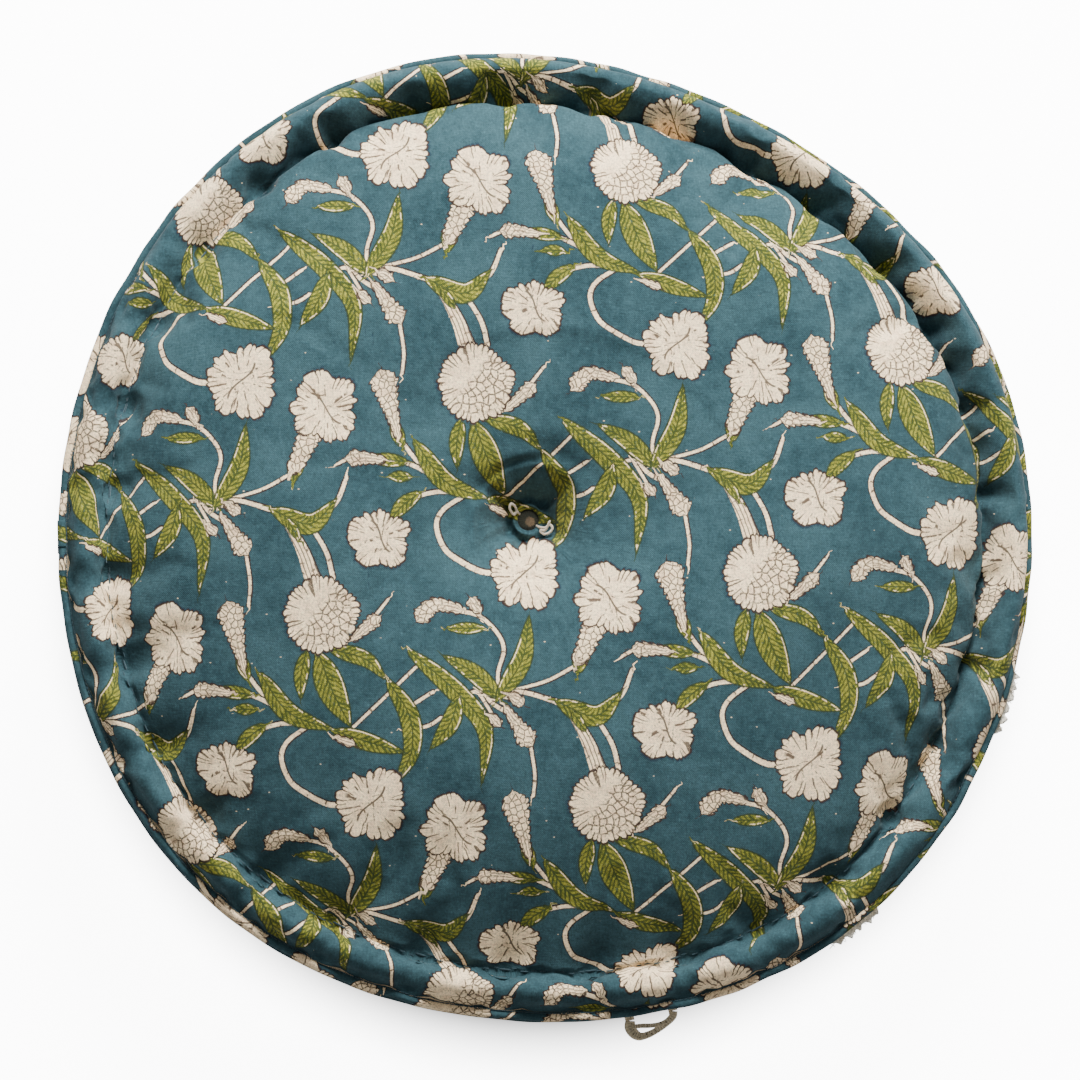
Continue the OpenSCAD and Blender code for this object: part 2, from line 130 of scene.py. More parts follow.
class Pen:
    """Draws a node tree with short calls; sockets or numbers go in, sockets come out."""

    def __init__(self, tree):
        self.tree = tree

    def node(self, kind, **settings):
        made = self.tree.nodes.new(kind)
        for key, value in settings.items():
            setattr(made, key, value)
        return made

    def put(self, socket, value):
        if isinstance(value, bpy.types.NodeSocket):
            self.tree.links.new(value, socket)
        else:
            socket.default_value = value

    def wire(self, node, **values):
        """Puts values into a node's inputs by name, with _ for a space."""
        for name, value in values.items():
            self.put(node.inputs[name.replace("_", " ")], value)

    def math(self, operation, a, b=0.0, c=0.0, clamp=False):
        made = self.node("ShaderNodeMath", operation=operation, use_clamp=clamp)
        for socket, value in zip(made.inputs, (a, b, c)):
            self.put(socket, value)
        return made.outputs[0]

    def add(self, a, b):
        return self.math("ADD", a, b)

    def sub(self, a, b):
        return self.math("SUBTRACT", a, b)

    def mul(self, a, b, clamp=False):
        return self.math("MULTIPLY", a, b, clamp=clamp)

    def fma(self, a, b, c):
        return self.math("MULTIPLY_ADD", a, b, c)

    def step(self, value, low, high):
        made = self.node("ShaderNodeMapRange", interpolation_type="SMOOTHSTEP")
        self.wire(made, Value=value, From_Min=low, From_Max=high)
        return made.outputs[0]

    def ramp(self, value, low, high, to_low=0.0, to_high=1.0):
        made = self.node("ShaderNodeMapRange", clamp=True)
        self.wire(made, Value=value, From_Min=low, From_Max=high, To_Min=to_low, To_Max=to_high)
        return made.outputs[0]

    def stripe(self, value, period, half_width, soft):
        """1 on thin lines that repeat along value, in the value's own unit."""
        near = self.math("PINGPONG", value, period / 2)
        return self.ramp(near, half_width, half_width + soft, 1.0, 0.0)

    def split(self, vector):
        made = self.node("ShaderNodeSeparateXYZ")
        self.put(made.inputs[0], vector)
        return made.outputs

    def join(self, x, y, z=0.0):
        made = self.node("ShaderNodeCombineXYZ")
        for socket, value in zip(made.inputs, (x, y, z)):
            self.put(socket, value)
        return made.outputs[0]

    def vector(self, operation, a, b=None, scale=None):
        made = self.node("ShaderNodeVectorMath", operation=operation)
        self.put(made.inputs[0], a)
        if b is not None:
            self.put(made.inputs[1], b)
        if scale is not None:
            self.put(made.inputs["Scale"], scale)
        return made.outputs["Value" if operation == "LENGTH" else "Vector"]

    def noise(self, vector, scale, detail=2.0, roughness=0.5, flat=True):
        made = self.node("ShaderNodeTexNoise", noise_dimensions="2D" if flat else "3D")
        self.wire(made, Vector=vector, Scale=scale, Detail=detail, Roughness=roughness)
        return made.outputs["Fac"]

    def mix(self, factor, a, b, blend="MIX"):
        made = self.node("ShaderNodeMix", data_type="RGBA", blend_type=blend)
        self.put(made.inputs["Factor"], factor)
        for socket, value in ((made.inputs[6], a), (made.inputs[7], b)):
            self.put(socket, value if isinstance(value, bpy.types.NodeSocket) else (*value[:3], 1.0))
        return made.outputs[2]

    def cell(self, vector, scale, feature="F1"):
        made = self.node("ShaderNodeTexVoronoi", feature=feature, voronoi_dimensions="2D")
        self.wire(made, Vector=vector, Scale=scale, Randomness=1.0)
        return made.outputs

    def attribute(self, name, output="Vector"):
        made = self.node("ShaderNodeAttribute", attribute_name=name)
        return made.outputs[output]

    def group(self, tree, **inputs):
        made = self.node("ShaderNodeGroup", node_tree=tree)
        self.wire(made, **inputs)
        return made.outputs


SOCKETS = {"f": "NodeSocketFloat", "v": "NodeSocketVector", "c": "NodeSocketColor"}


def shader_group(name, inputs, outputs):
    """A shader node group and its pen; inputs and outputs are (name, kind, default) rows."""
    tree = bpy.data.node_groups.new(name, "ShaderNodeTree")
    for side, rows in (("INPUT", inputs), ("OUTPUT", outputs)):
        for label, kind, *default in rows:
            made = tree.interface.new_socket(label, in_out=side, socket_type=SOCKETS[kind])
            if default:
                made.default_value = default[0]
    pen = Pen(tree)
    start = pen.node("NodeGroupInput")
    end = pen.node("NodeGroupOutput")
    return tree, pen, start.outputs, end.inputs


def material(name, roughness=0.8, **sockets):
    """A node material; returns it with its pen and its Principled BSDF."""
    mat = bpy.data.materials.new(name)
    mat.use_nodes = True
    tree = mat.node_tree
    tree.nodes.clear()
    pen = Pen(tree)
    shader = pen.node("ShaderNodeBsdfPrincipled")
    out = pen.node("ShaderNodeOutputMaterial")
    tree.links.new(shader.outputs[0], out.inputs[0])
    pen.wire(shader, Roughness=roughness, **sockets)
    return mat, pen, shader


def surface(pen, shader, height, distance, **sockets):
    """Feeds a shader its patterns, and bumps it by the height over distance, in metres."""
    made = pen.node("ShaderNodeBump")
    pen.wire(made, Distance=distance, Strength=1.0, Height=height)
    pen.wire(shader, Normal=made.outputs[0], **sockets)


def darker(tone, share):
    return [c * share for c in tone]


def paler(tone, share):
    return [min(1.0, c * share) for c in tone]


# ---- shared effects

def make_weave():
    """Plain-woven cotton: heathered colour, thread height and roughness. Cloth is in metres."""
    tree, pen, got, out = shader_group(
        "Woven cotton",
        [("Cloth", "v"), ("Color", "c"), ("Pitch", "f", 0.00065), ("Heather", "f", 0.5)],
        [("Color", "c"), ("Height", "f"), ("Roughness", "f")])
    x, y, _ = pen.split(got["Cloth"])
    rate = pen.math("DIVIDE", math.pi, got["Pitch"])
    warp = pen.math("SINE", pen.mul(x, rate))
    weft = pen.math("SINE", pen.mul(y, rate))
    threads = pen.mul(warp, weft)
    fine = pen.noise(got["Cloth"], 700.0, 3.0, 0.8)
    slub = pen.noise(pen.join(pen.mul(x, 160.0), pen.mul(y, 900.0)), 1.0, 2.0)
    slub_up = pen.noise(pen.join(pen.mul(x, 900.0), pen.mul(y, 160.0)), 1.0, 2.0)
    tone = pen.add(pen.mul(pen.sub(fine, 0.5), 2.8),
                   pen.mul(pen.sub(pen.add(slub, slub_up), 1.0), 0.7))
    shade = pen.fma(tone, got["Heather"], 1.0)
    pen.put(out["Color"], pen.vector("SCALE", got["Color"], scale=shade))
    pen.put(out["Height"], pen.add(pen.mul(threads, 0.22), pen.mul(pen.add(fine, slub), 0.6)))
    pen.put(out["Roughness"], pen.ramp(fine, 0.2, 0.8, 0.82, 0.97))
    return tree


def weave_finish(pen, shader, relief, distance, **inputs):
    """Finishes a shader as woven cotton; relief is the height on top of the threads, or None."""
    woven = pen.group(make_weave(), **inputs)
    height = woven["Height"] if relief is None else pen.add(woven["Height"], relief)
    surface(pen, shader, height, distance, Base_Color=woven["Color"], Roughness=woven["Roughness"])


def band(pen, inside, middle, half, soft=0.14):
    return pen.ramp(pen.math("ABSOLUTE", pen.sub(inside, middle)), half, half + soft, 1.0, 0.0)


def lay_ink(pen, out, under, inside, fill, line, tone):
    """Prints the fill inside a shape's edge, then the dark block's line."""
    soft = 0.16
    printed = pen.mix(pen.ramp(inside, -soft, soft), under, fill)
    pen.put(out["Color"], pen.mix(line, printed, tone))


PRINT_INPUTS = [("Place", "v"), ("Under", "c"), ("Grain", "f"), ("Patch", "f")]


def place_parts(pen, got, grow=0.0):
    """u along, v across and how far inside the shape, all in mm, with the block's ragged edge."""
    along, across, half = pen.split(got["Place"])
    side = pen.math("ABSOLUTE", across)
    inside = pen.add(pen.sub(half, side), pen.fma(pen.sub(got["Grain"], 0.5), 0.9, grow))
    return along, across, half, side, inside


def make_leaf(tints):
    tree, pen, got, out = shader_group("Leaf print", PRINT_INPUTS, [("Color", "c")])
    along, across, half, side, inside = place_parts(pen, got)
    slant = pen.fma(side, -1.2, along)
    wander = pen.fma(pen.sub(got["Patch"], 0.5), 3.4, pen.mul(pen.step(across, -0.1, 0.1), 1.6))
    slant = pen.add(slant, wander)
    veins = pen.mul(pen.stripe(slant, 3.9, 0.44, 0.34), pen.step(got["Grain"], 0.30, 0.46))
    strokes = pen.mul(pen.stripe(pen.add(slant, 1.9), 3.9, 0.5, 0.5), pen.step(got["Grain"], 0.44, 0.58))
    rib = pen.ramp(side, 0.34, 0.62, 1.0, 0.0)
    share = pen.math("DIVIDE", side, pen.math("MAXIMUM", half, 0.5))
    inner = pen.mul(pen.stripe(pen.add(share, 0.06), 0.56, 0.06, 0.07), pen.step(got["Grain"], 0.5, 0.6))
    green = pen.mix(pen.step(got["Patch"], 0.35, 0.7), tints.leaf, darker(tints.leaf_light, 0.72))
    green = pen.mix(strokes, green, tints.leaf_light)
    drawn = pen.math("MAXIMUM", pen.math("MAXIMUM", veins, inner), rib)
    green = pen.mix(pen.mul(drawn, 0.88), green, tints.leaf_dark)
    lit = pen.mul(band(pen, inside, 0.9, 0.3), pen.step(pen.fma(across, 0.03, got["Patch"]), 0.56, 0.62))
    green = pen.mix(pen.mul(lit, 0.8), green, tints.cream)
    line = pen.mul(band(pen, inside, -0.1, 0.42), pen.step(got["Grain"], 0.22, 0.36))
    lay_ink(pen, out, got["Under"], inside, green, pen.mul(line, 0.85), darker(tints.leaf_dark, 0.7))
    return tree


def make_stem(tints):
    tree, pen, got, out = shader_group("Stem print", PRINT_INPUTS, [("Color", "c")])
    along, across, half, _, inside = place_parts(pen, got, 0.1)
    fill = pen.mix(pen.step(got["Patch"], 0.4, 0.66), tints.cream, tints.cream_warm)
    rungs = pen.mul(pen.stripe(pen.fma(got["Patch"], 5.0, along), 6.1, 0.3, 0.3),
                    pen.step(got["Patch"], 0.5, 0.6))
    ribs = pen.mul(pen.stripe(pen.fma(got["Patch"], 0.8, across), 2.3, 0.22, 0.25),
                   pen.ramp(half, 1.5, 2.2))
    fill = pen.mix(pen.mul(pen.math("MAXIMUM", rungs, ribs), 0.85), fill, tints.outline)
    line = pen.mul(band(pen, inside, -0.4, 0.4), pen.step(pen.fma(across, 0.06, got["Grain"]), 0.34, 0.5))
    lay_ink(pen, out, got["Under"], inside, fill, pen.mul(line, 0.9), tints.outline)
    return tree


def make_bud(tints):
    tree, pen, got, out = shader_group("Bud print", PRINT_INPUTS, [("Color", "c")])
    along, across, half, _, inside = place_parts(pen, got)
    wave = pen.fma(got["Patch"], 4.0, pen.fma(across, 0.5, pen.mul(along, 0.75)))
    scallop = pen.math("ABSOLUTE", pen.math("SINE", wave))
    inside = pen.add(inside, pen.mul(pen.sub(scallop, 0.6), pen.ramp(half, 1.5, 6.0, 0.4, 1.9)))
    share = pen.math("DIVIDE", across, pen.math("MAXIMUM", half, 0.6))
    fill = pen.mix(pen.step(got["Patch"], 0.45, 0.7), tints.cream, tints.cream_warm)
    petals = pen.stripe(pen.fma(pen.sub(got["Patch"], 0.5), 0.7, share), 0.62, 0.06, 0.07)
    petals = pen.mul(petals, pen.ramp(half, 3.4, 5.0, 1.0, 0.15))
    cells = pen.cell(pen.join(along, pen.mul(across, 1.2)), 0.25, "DISTANCE_TO_EDGE")["Distance"]
    cell_lines = pen.mul(pen.ramp(cells, 0.07, 0.14, 1.0, 0.0), pen.ramp(half, 2.4, 4.0))
    lines = pen.mul(pen.math("MAXIMUM", petals, cell_lines), pen.step(got["Grain"], 0.28, 0.44))
    fill = pen.mix(pen.mul(lines, 0.88), fill, tints.outline)
    line = pen.mul(band(pen, inside, -0.15, 0.52), pen.step(got["Grain"], 0.2, 0.36))
    lay_ink(pen, out, got["Under"], inside, fill, pen.mul(line, 0.92), tints.outline)
    return tree


def make_bloom(tints):
    """The round flower heads. Kind 0 is the fringed pom-pom, 1 to 3 are ruffled fans."""
    tree, pen, got, out = shader_group(
        "Bloom print", PRINT_INPUTS + [("Kind", "f")], [("Color", "c")])
    x, y, size = pen.split(got["Place"])
    angle = pen.math("ARCTAN2", y, x)
    far = pen.vector("LENGTH", pen.join(x, y))
    ratio = pen.math("DIVIDE", far, size)
    fan = pen.math("MINIMUM", got["Kind"], 1.0)
    way = pen.vector("ADD", pen.vector("NORMALIZE", pen.join(x, y)),
                     pen.join(pen.mul(got["Kind"], 4.7), 1.3))
    lobes = pen.add(pen.mul(pen.sub(pen.noise(way, 1.15, 0.0), 0.5), pen.fma(fan, 0.30, 0.20)),
                    pen.mul(pen.sub(pen.noise(way, 3.4, 0.0), 0.5), pen.fma(fan, 0.10, 0.18)))
    rate = pen.fma(fan, -4.5, 20.0)
    teeth = pen.fma(angle, rate, pen.add(pen.mul(pen.sub(got["Patch"], 0.5), 2.2),
                                         pen.mul(pen.noise(way, 2.3, 0.0), 6.0)))
    valley = pen.math("ABSOLUTE", pen.math("COSINE", teeth))
    rim = pen.add(pen.fma(pen.math("POWER", valley, 0.6), 0.085, 0.905), lobes)
    notch = pen.mul(pen.ramp(pen.math("ABSOLUTE", angle), 0.10, 0.34, 1.0, 0.0), pen.mul(fan, 0.16))
    rim = pen.math("MINIMUM", pen.sub(rim, notch), 1.1)
    inside = pen.add(pen.mul(pen.sub(rim, ratio), size), pen.mul(pen.sub(got["Grain"], 0.5), 0.9))

    fill = pen.mix(pen.step(got["Patch"], 0.42, 0.75), tints.cream, tints.cream_warm)
    speck = pen.cell(pen.join(pen.add(x, y), pen.mul(pen.sub(x, y), 0.6)), 0.55)["Distance"]
    stipple = pen.mul(pen.ramp(speck, 0.12, 0.24, 1.0, 0.0), pen.step(got["Grain"], 0.36, 0.56))
    fill = pen.mix(pen.mul(stipple, pen.fma(fan, -0.2, 0.8)), fill, darker(tints.cream_warm, 0.5))

    gap = pen.ramp(pen.math("DIVIDE", pen.mul(valley, far), rate), 0.36, 0.62, 1.0, 0.0)
    reach = pen.fma(pen.noise(way, 6.0, 0.0), -0.85, pen.add(rim, 0.22))
    rays = pen.mul(gap, pen.mul(pen.step(ratio, reach, pen.add(reach, 0.03)),
                                pen.step(got["Grain"], 0.24, 0.4)))
    wide = pen.math("ABSOLUTE", pen.math("COSINE", pen.fma(teeth, 0.38, 0.4)))
    wide_gap = pen.math("DIVIDE", pen.mul(wide, far), pen.mul(rate, 0.38))
    long_rays = pen.mul(pen.ramp(wide_gap, 0.36, 0.62, 1.0, 0.0),
                        pen.mul(pen.step(ratio, 0.26, 0.3), pen.ramp(ratio, 0.66, 0.76, 1.0, 0.0)))
    long_rays = pen.mul(long_rays, pen.mul(fan, pen.step(got["Patch"], 0.47, 0.53)))
    bend = pen.mul(pen.math("SINE", pen.math("DIVIDE", pen.mul(y, 3.4), size)), pen.mul(size, 0.2))
    spine = pen.math("ABSOLUTE", pen.sub(x, bend))
    up = pen.math("ABSOLUTE", y)
    crease = pen.mul(pen.ramp(spine, 0.5, 0.78, 1.0, 0.0),
                     pen.ramp(up, pen.mul(size, 0.55), pen.mul(size, 0.6), 1.0, 0.0))
    twigs = pen.mul(pen.stripe(pen.fma(spine, -0.9, pen.add(y, pen.mul(got["Patch"], 3.0))), 6.4, 0.36, 0.3),
                    pen.mul(pen.ramp(spine, 3.4, 5.2, 1.0, 0.0), pen.ramp(up, 9.0, 12.0, 1.0, 0.0)))
    crease = pen.mul(pen.math("MAXIMUM", crease, pen.mul(twigs, pen.step(got["Grain"], 0.4, 0.5))), fan)
    cells = pen.cell(pen.join(x, y), 0.235, "DISTANCE_TO_EDGE")["Distance"]
    side = pen.fma(got["Patch"], 5.0, pen.add(pen.mul(x, 0.7), pen.mul(y, -0.5)))
    heart = pen.mul(pen.mul(pen.ramp(cells, 0.08, 0.15, 1.0, 0.0), pen.step(got["Grain"], 0.3, 0.45)),
                    pen.mul(pen.ramp(side, -1.5, 1.0), pen.ramp(ratio, 0.78, 0.86, 1.0, 0.0)))
    heart = pen.mul(heart, pen.sub(1.0, fan))
    lines = pen.math("MAXIMUM", pen.math("MAXIMUM", rays, long_rays), pen.math("MAXIMUM", crease, heart))
    fill = pen.mix(pen.mul(lines, 0.88), fill, tints.outline)

    slip = pen.math("DIVIDE", pen.sub(pen.mul(x, -0.8), pen.mul(y, 0.3)), size)
    shifted = pen.add(inside, pen.mul(slip, 1.2))
    halo = pen.mul(pen.ramp(shifted, -1.5, -0.3), pen.mul(pen.step(got["Patch"], 0.36, 0.56), 0.8))
    ground = pen.mix(halo, got["Under"], tints.indigo)
    line = pen.mul(band(pen, inside, -0.1, 0.6), pen.step(got["Grain"], 0.2, 0.36))
    lay_ink(pen, out, ground, inside, fill, pen.mul(line, 0.94), tints.outline)
    return tree


def make_cloth(tints):
    """The printed cotton of the casing and the welts."""
    mat, pen, shader = material("Printed cotton", 0.9, Sheen_Weight=0.06, Sheen_Roughness=0.5,
                                Specular_IOR_Level=0.2)
    cloth = pen.node("ShaderNodeUVMap", uv_map="cloth").outputs[0]
    grain = pen.noise(cloth, 900.0, 2.0, 0.6)
    patch = pen.noise(cloth, 170.0, 2.0, 0.55)
    broad = pen.noise(cloth, 22.0, 3.0, 0.55)
    ground = pen.mix(pen.step(broad, 0.25, 0.8), tints.teal_deep, tints.teal)
    ground = pen.mix(pen.mul(pen.step(patch, 0.3, 0.75), 0.3), ground, paler(tints.teal, 1.4))
    x, y, _ = pen.split(cloth)
    smear = pen.noise(pen.join(pen.mul(x, 260.0), pen.mul(y, 55.0)), 1.0, 3.0, 0.7)
    ground = pen.mix(pen.mul(pen.step(smear, 0.72, 0.79), 0.7), ground, tints.indigo)
    lint = pen.cell(pen.join(pen.mul(x, 0.6), y), 70.0)["Distance"]
    lint = pen.mul(pen.ramp(lint, 0.012, 0.032, 0.8, 0.0), pen.step(patch, 0.58, 0.64))
    printed = pen.mix(lint, ground, tints.cream)
    for group, names in ((make_stem(tints), ("stem_a", "stem_b", "stem_c")),
                         (make_leaf(tints), ("leaf_a", "leaf_b")),
                         (make_bud(tints), ("bud_a",))):
        for name in names:
            printed = pen.group(group, Place=pen.attribute(name), Under=printed, Grain=grain, Patch=patch)[0]
    printed = pen.group(make_bloom(tints), Place=pen.attribute("bloom"), Under=printed, Grain=grain,
                        Patch=patch, Kind=pen.attribute("bloom_kind", "Fac"))[0]
    worn = pen.mul(pen.step(pen.noise(cloth, 420.0, 3.0, 0.7), 0.62, 0.72), 0.25)
    printed = pen.mix(worn, printed, paler(tints.teal, 2.2))
    creases = pen.noise(cloth, 60.0, 3.0, 0.55)
    weave_finish(pen, shader, pen.mul(creases, 3.0), 0.00028, Cloth=cloth, Color=printed)
    return mat


# ---- the block's design, in millimetres about the pom-pom; x to the right, y up

REPEAT = ((171.4, -115.1), (-93.0, -140.0))
PRINT_START = (127.0, -24.0)
BLOOMS = (  # x, y, radius, kind, turn in degrees
    (0.0, 0.0, 23.0, 0, 0.0),
    (-57.5, -93.0, 18.5, 1, 50.0),
    (29.5, -114.0, 22.5, 2, 160.0),
    (-90.5, -16.0, 21.5, 3, -118.0),
)
LEAVES = (  # full width, then the midrib
    (9, (-9, -23), (-12, -37), (-12, -51)),
    (17, (-1, -25), (7, -46), (18, -67)),
    (10, (6, -21), (27, -27), (39, -39)),
    (12, (41, -41), (53, -61), (54, -83), (43, -104)),
    (12, (-36, -37), (-19, -59), (8, -69)),
    (11, (9, -70), (30, -77), (50, -83)),
    (11, (-65, 65.5), (-80, 80), (-98.5, 90.6)),
    (12, (-65, 65.5), (-51, 88), (-46.5, 114.4)),
    (13, (-29, 62), (-7, 54), (9, 69)),
    (12, (54, -23), (81, -46.5), (98, -70), (96, -103)),
    (11, (82, -51), (77, -66), (65.5, -81)),
)
SEPALS = (
    (8, (-45, -37), (-49.5, -25)),
    (8, (-44, -48), (-53, -47), (-62, -46)),
    (7, (-41, -57), (-51, -57)),
    (9, (-36, -68), (-44, -74), (-50, -81)),
    (10, (-110, -57), (-108, -45)),
    (7, (-76, 107), (-93, 107)),
    (7, (9, -13), (16, -12), (22, -10)),
    (6, (-20, 55), (-14, 46)),
)
BUDS = (  # full width at the open end, the shape's narrow share, then base to tip
    (20, 0.22, (-47, -32), (-52, -13), (-57, 7)),
    (11, 0.45, (-57, -47), (-67, -46), (-78, -46)),
    (12, 0.5, (-90, 119), (-104, 121), (-114, 111)),
    (15, 0.3, (111, -57), (126, -79)),
    (10, 0.5, (20, -14), (35, -1)),
    (6, 0.6, (10, -74), (20, -78)),
    (6.5, 0.9, (103, -63), (107, -67)),
    (8, 0.8, (115, -50), (121, -54)),
    (8, 0.8, (-78, 119), (-82, 125)),
    (17, 0.55, (-109, -51), (-97, -24)),
)
STEMS = (  # widths at both ends, then the line
    (2.2, 2.2, (-46, -34), (-36, -47), (-26, -55)),
    (2.2, 2.6, (-44, -48), (-36, -51), (-26, -56)),
    (2.2, 2.4, (-37, -69), (-24, -65.5), (-8, -65.5)),
    (2.2, 3.2, (-8, -67), (-20, -76), (-24, -86), (-19, -100), (-9, -108), (2, -114), (9, -115)),
    (1.8, 1.6, (-112.5, -56), (-129.5, -65), (-151, -71)),
    (2.2, 1.8, (-90, 118), (-76, 114), (-65, 103), (-62, 93), (-65.5, 80), (-65, 66)),
    (2.2, 2.6, (-65, 65), (-52, 68.5), (-29, 62)),
    (3.0, 9.5, (-29, 62), (-23, 57.5), (-12, 39), (-5.5, 21.5)),
    (2.0, 2.6, (-29, 62), (-12, 57.5), (2, 39), (7, 22)),
    (1.6, 1.6, (18, -69), (40, -48), (57.5, -31)),
    (1.8, 1.8, (52, -56), (67, -46.5)),
    (1.8, 1.8, (52, -69), (64, -67), (72, -62)),
    (1.8, 2.4, (86, -48), (95, -46.5), (103, -54), (113, -60)),
    (1.8, 1.6, (125.5, -80), (128, -97), (127, -110)),
    (2.0, 1.5, (-77, -46), (-84, -50)),
    (1.8, 1.4, (30, -4), (41, 10)),
    (1.6, 1.6, (95, -48), (104, -63)),
    (1.6, 1.6, (98, -48), (116, -51)),
    (3.0, 2.0, (-7, 56), (8, 66), (15, 82)),
    (1.6, 1.6, (-77, 115), (-80, 121)),
)


def smooth_curve(points, counts):
    """A curve through the points, with counts[k] samples between point k and the next."""
    pts = np.array(points, float)
    ends = np.vstack([2 * pts[0] - pts[1], pts, 2 * pts[-1] - pts[-2]])
    out = []
    for a, b, c, d, count in zip(ends, ends[1:], ends[2:], ends[3:], counts):
        t = np.linspace(0, 1, count, endpoint=False)[:, None]
        out.append(0.5 * (2 * b + (c - a) * t + (2 * a - 5 * b + 4 * c - d) * t ** 2
                          + (3 * b - a - 3 * c + d) * t ** 3))
    return np.vstack(out + [pts[-1:]])


def smooth_line(points, steps=7):
    """A curve sampled evenly between its points, or a straight line where there are only two."""
    if len(points) == 2:
        a, b = np.array(points, float)
        return a + (b - a) * np.linspace(0, 1, 4)[:, None]
    return smooth_curve(points, [steps] * (len(points) - 1))


def lengths_along(path):
    """How far along a path each of its points is."""
    return np.concatenate([[0.0], np.cumsum(np.linalg.norm(np.diff(path, axis=0), axis=1))])


def leaf_half(width):
    return lambda t: 0.5 * width * np.clip(np.sin(np.pi * (0.04 + 0.96 * t) ** 0.8), 0, 1) ** 0.8


def sepal_half(width):
    return lambda t: 0.5 * width * np.sin(np.pi * (0.16 + 0.72 * t)) ** 0.7


def bud_half(width, narrow):
    """A bud that widens along its length and closes over the last 16 % of it."""
    return lambda t: (0.5 * width * (narrow + (1 - narrow) * t ** 1.3)
                      * np.sqrt(np.clip((1 - t) / 0.16, 0.0, 1)))


def stem_half(first, last):
    return lambda t: 0.5 * (first + (last - first) * t)


def print_marks():
    """Every shape of one repeat, by the attribute family that carries it."""
    return {
        "leaf": [(smooth_line(row[1:]), leaf_half(row[0])) for row in LEAVES]
                + [(smooth_line(row[1:]), sepal_half(row[0])) for row in SEPALS],
        "stem": [(smooth_line(row[2:]), stem_half(*row[:2])) for row in STEMS],
        "bud": [(smooth_line(row[2:]), bud_half(*row[:2])) for row in BUDS],
    }


def on_line(points, line, half):
    """Length along, signed distance across and the half width there, for points near a line."""
    a, b = line[:-1], line[1:]
    run = b - a
    size = np.linalg.norm(run, axis=1)
    start = np.concatenate([[0.0], np.cumsum(size)])
    to = points[:, None, :] - a
    t = np.clip((to * run).sum(2) / size ** 2, 0, 1)
    gap = to - t[..., None] * run
    far = np.hypot(gap[..., 0], gap[..., 1])
    best = far.argmin(1)
    rows = np.arange(len(points))
    along = start[best] + t[rows, best] * size[best]
    cross = run[best, 0] * to[rows, best, 1] - run[best, 1] * to[rows, best, 0]
    return along, np.copysign(far[rows, best], cross), half(along / start[-1])


def repeats(low, high, reach=160.0):
    """Places of the pom-pom that can touch the cloth between two corners."""
    a, b = np.array(REPEAT[0]), np.array(REPEAT[1])
    for i in range(-9, 10):
        for j in range(-9, 10):
            place = np.array(PRINT_START) + i * a + j * b
            if (place > low - reach).all() and (place < high + reach).all():
                yield place


def print_attributes(mesh, uv):
    """Stores where each face corner lies on the nearest printed shapes. uv is in metres, per corner."""
    flat = uv / MM
    counts = np.empty(len(mesh.polygons), np.int64)
    mesh.polygons.foreach_get("loop_total", counts)
    first = np.concatenate([[0], np.cumsum(counts)[:-1]])
    face_of = np.repeat(np.arange(len(counts)), counts)
    centre = np.add.reduceat(flat, first, axis=0) / counts[:, None]
    low, high = centre.min(0), centre.max(0)
    places = list(repeats(low, high))
    order = np.argsort(centre[:, 0])
    sorted_x = centre[order, 0]

    def near(mark, reach):
        i, j = np.searchsorted(sorted_x, (mark[0] - reach, mark[0] + reach))
        found = order[i:j]
        return found[np.abs(centre[found, 1] - mark[1]) < reach]

    for family, marks in print_marks().items():
        slots = {"leaf": 2, "stem": 3, "bud": 1}[family]
        rows = [(line + place, half) for place in places for line, half in marks]
        faces, scores, owners = [], [], []
        for index, (line, half) in enumerate(rows):
            found = near((line.min(0) + line.max(0)) / 2, np.ptp(line, axis=0).max() / 2 + 12)
            if len(found):
                _, across, width = on_line(centre[found], line, half)
                inside = width - np.abs(across)
                keep = inside > -5.0
                faces.append(found[keep])
                scores.append(inside[keep])
                owners.append(np.full(keep.sum(), index))
        owner = np.full((len(counts), slots), -1, np.int64)
        if faces:
            faces, scores, owners = map(np.concatenate, (faces, scores, owners))
            ranked = np.lexsort((-scores, faces))
            faces, owners = faces[ranked], owners[ranked]
            rank = np.arange(len(faces)) - np.searchsorted(faces, faces)
            keep = rank < slots
            owner[faces[keep], rank[keep]] = owners[keep]
        owner.sort(axis=1)
        for k in range(slots):
            data = np.zeros((len(flat), 3), np.float32)
            data[:, 1] = 99.0
            corner_owner = owner[face_of, k]
            ranked = np.argsort(corner_owner, kind="stable")
            edges = np.searchsorted(corner_owner[ranked], np.arange(len(rows) + 1))
            for index, (line, half) in enumerate(rows):
                corners = ranked[edges[index]:edges[index + 1]]
                if len(corners):
                    along, across, width = on_line(flat[corners], line, half)
                    data[corners] = np.stack([along + 7.3 * (index % 23), across, width], 1)
            layer = mesh.attributes.new(f"{family}_{'abc'[k]}", "FLOAT_VECTOR", "CORNER")
            layer.data.foreach_set("vector", data.ravel())

    best = np.full(len(counts), -1.0e9)
    owner = np.zeros(len(counts), np.int64)
    heads = [(place + row[:2], *row[2:]) for place in places for row in BLOOMS]
    for index, (mark, size, _, _) in enumerate(heads):
        inside = size - np.linalg.norm(centre - mark, axis=1)
        closer = inside > best
        best[closer], owner[closer] = inside[closer], index
    marks = np.array([h[0] for h in heads])[owner][face_of]
    size, kind, turn = (np.array([h[i] for h in heads], float)[owner][face_of] for i in (1, 2, 3))
    gap = flat - marks
    c, s = np.cos(np.radians(turn)), np.sin(np.radians(turn))
    local = np.stack([gap[:, 0] * c + gap[:, 1] * s, gap[:, 1] * c - gap[:, 0] * s, size], 1)
    for name, form, key, values in (("bloom", "FLOAT_VECTOR", "vector", local),
                                    ("bloom_kind", "FLOAT", "value", kind)):
        layer = mesh.attributes.new(name, form, "CORNER")
        layer.data.foreach_set(key, values.astype(np.float32).ravel())


# ---- mesh helpers

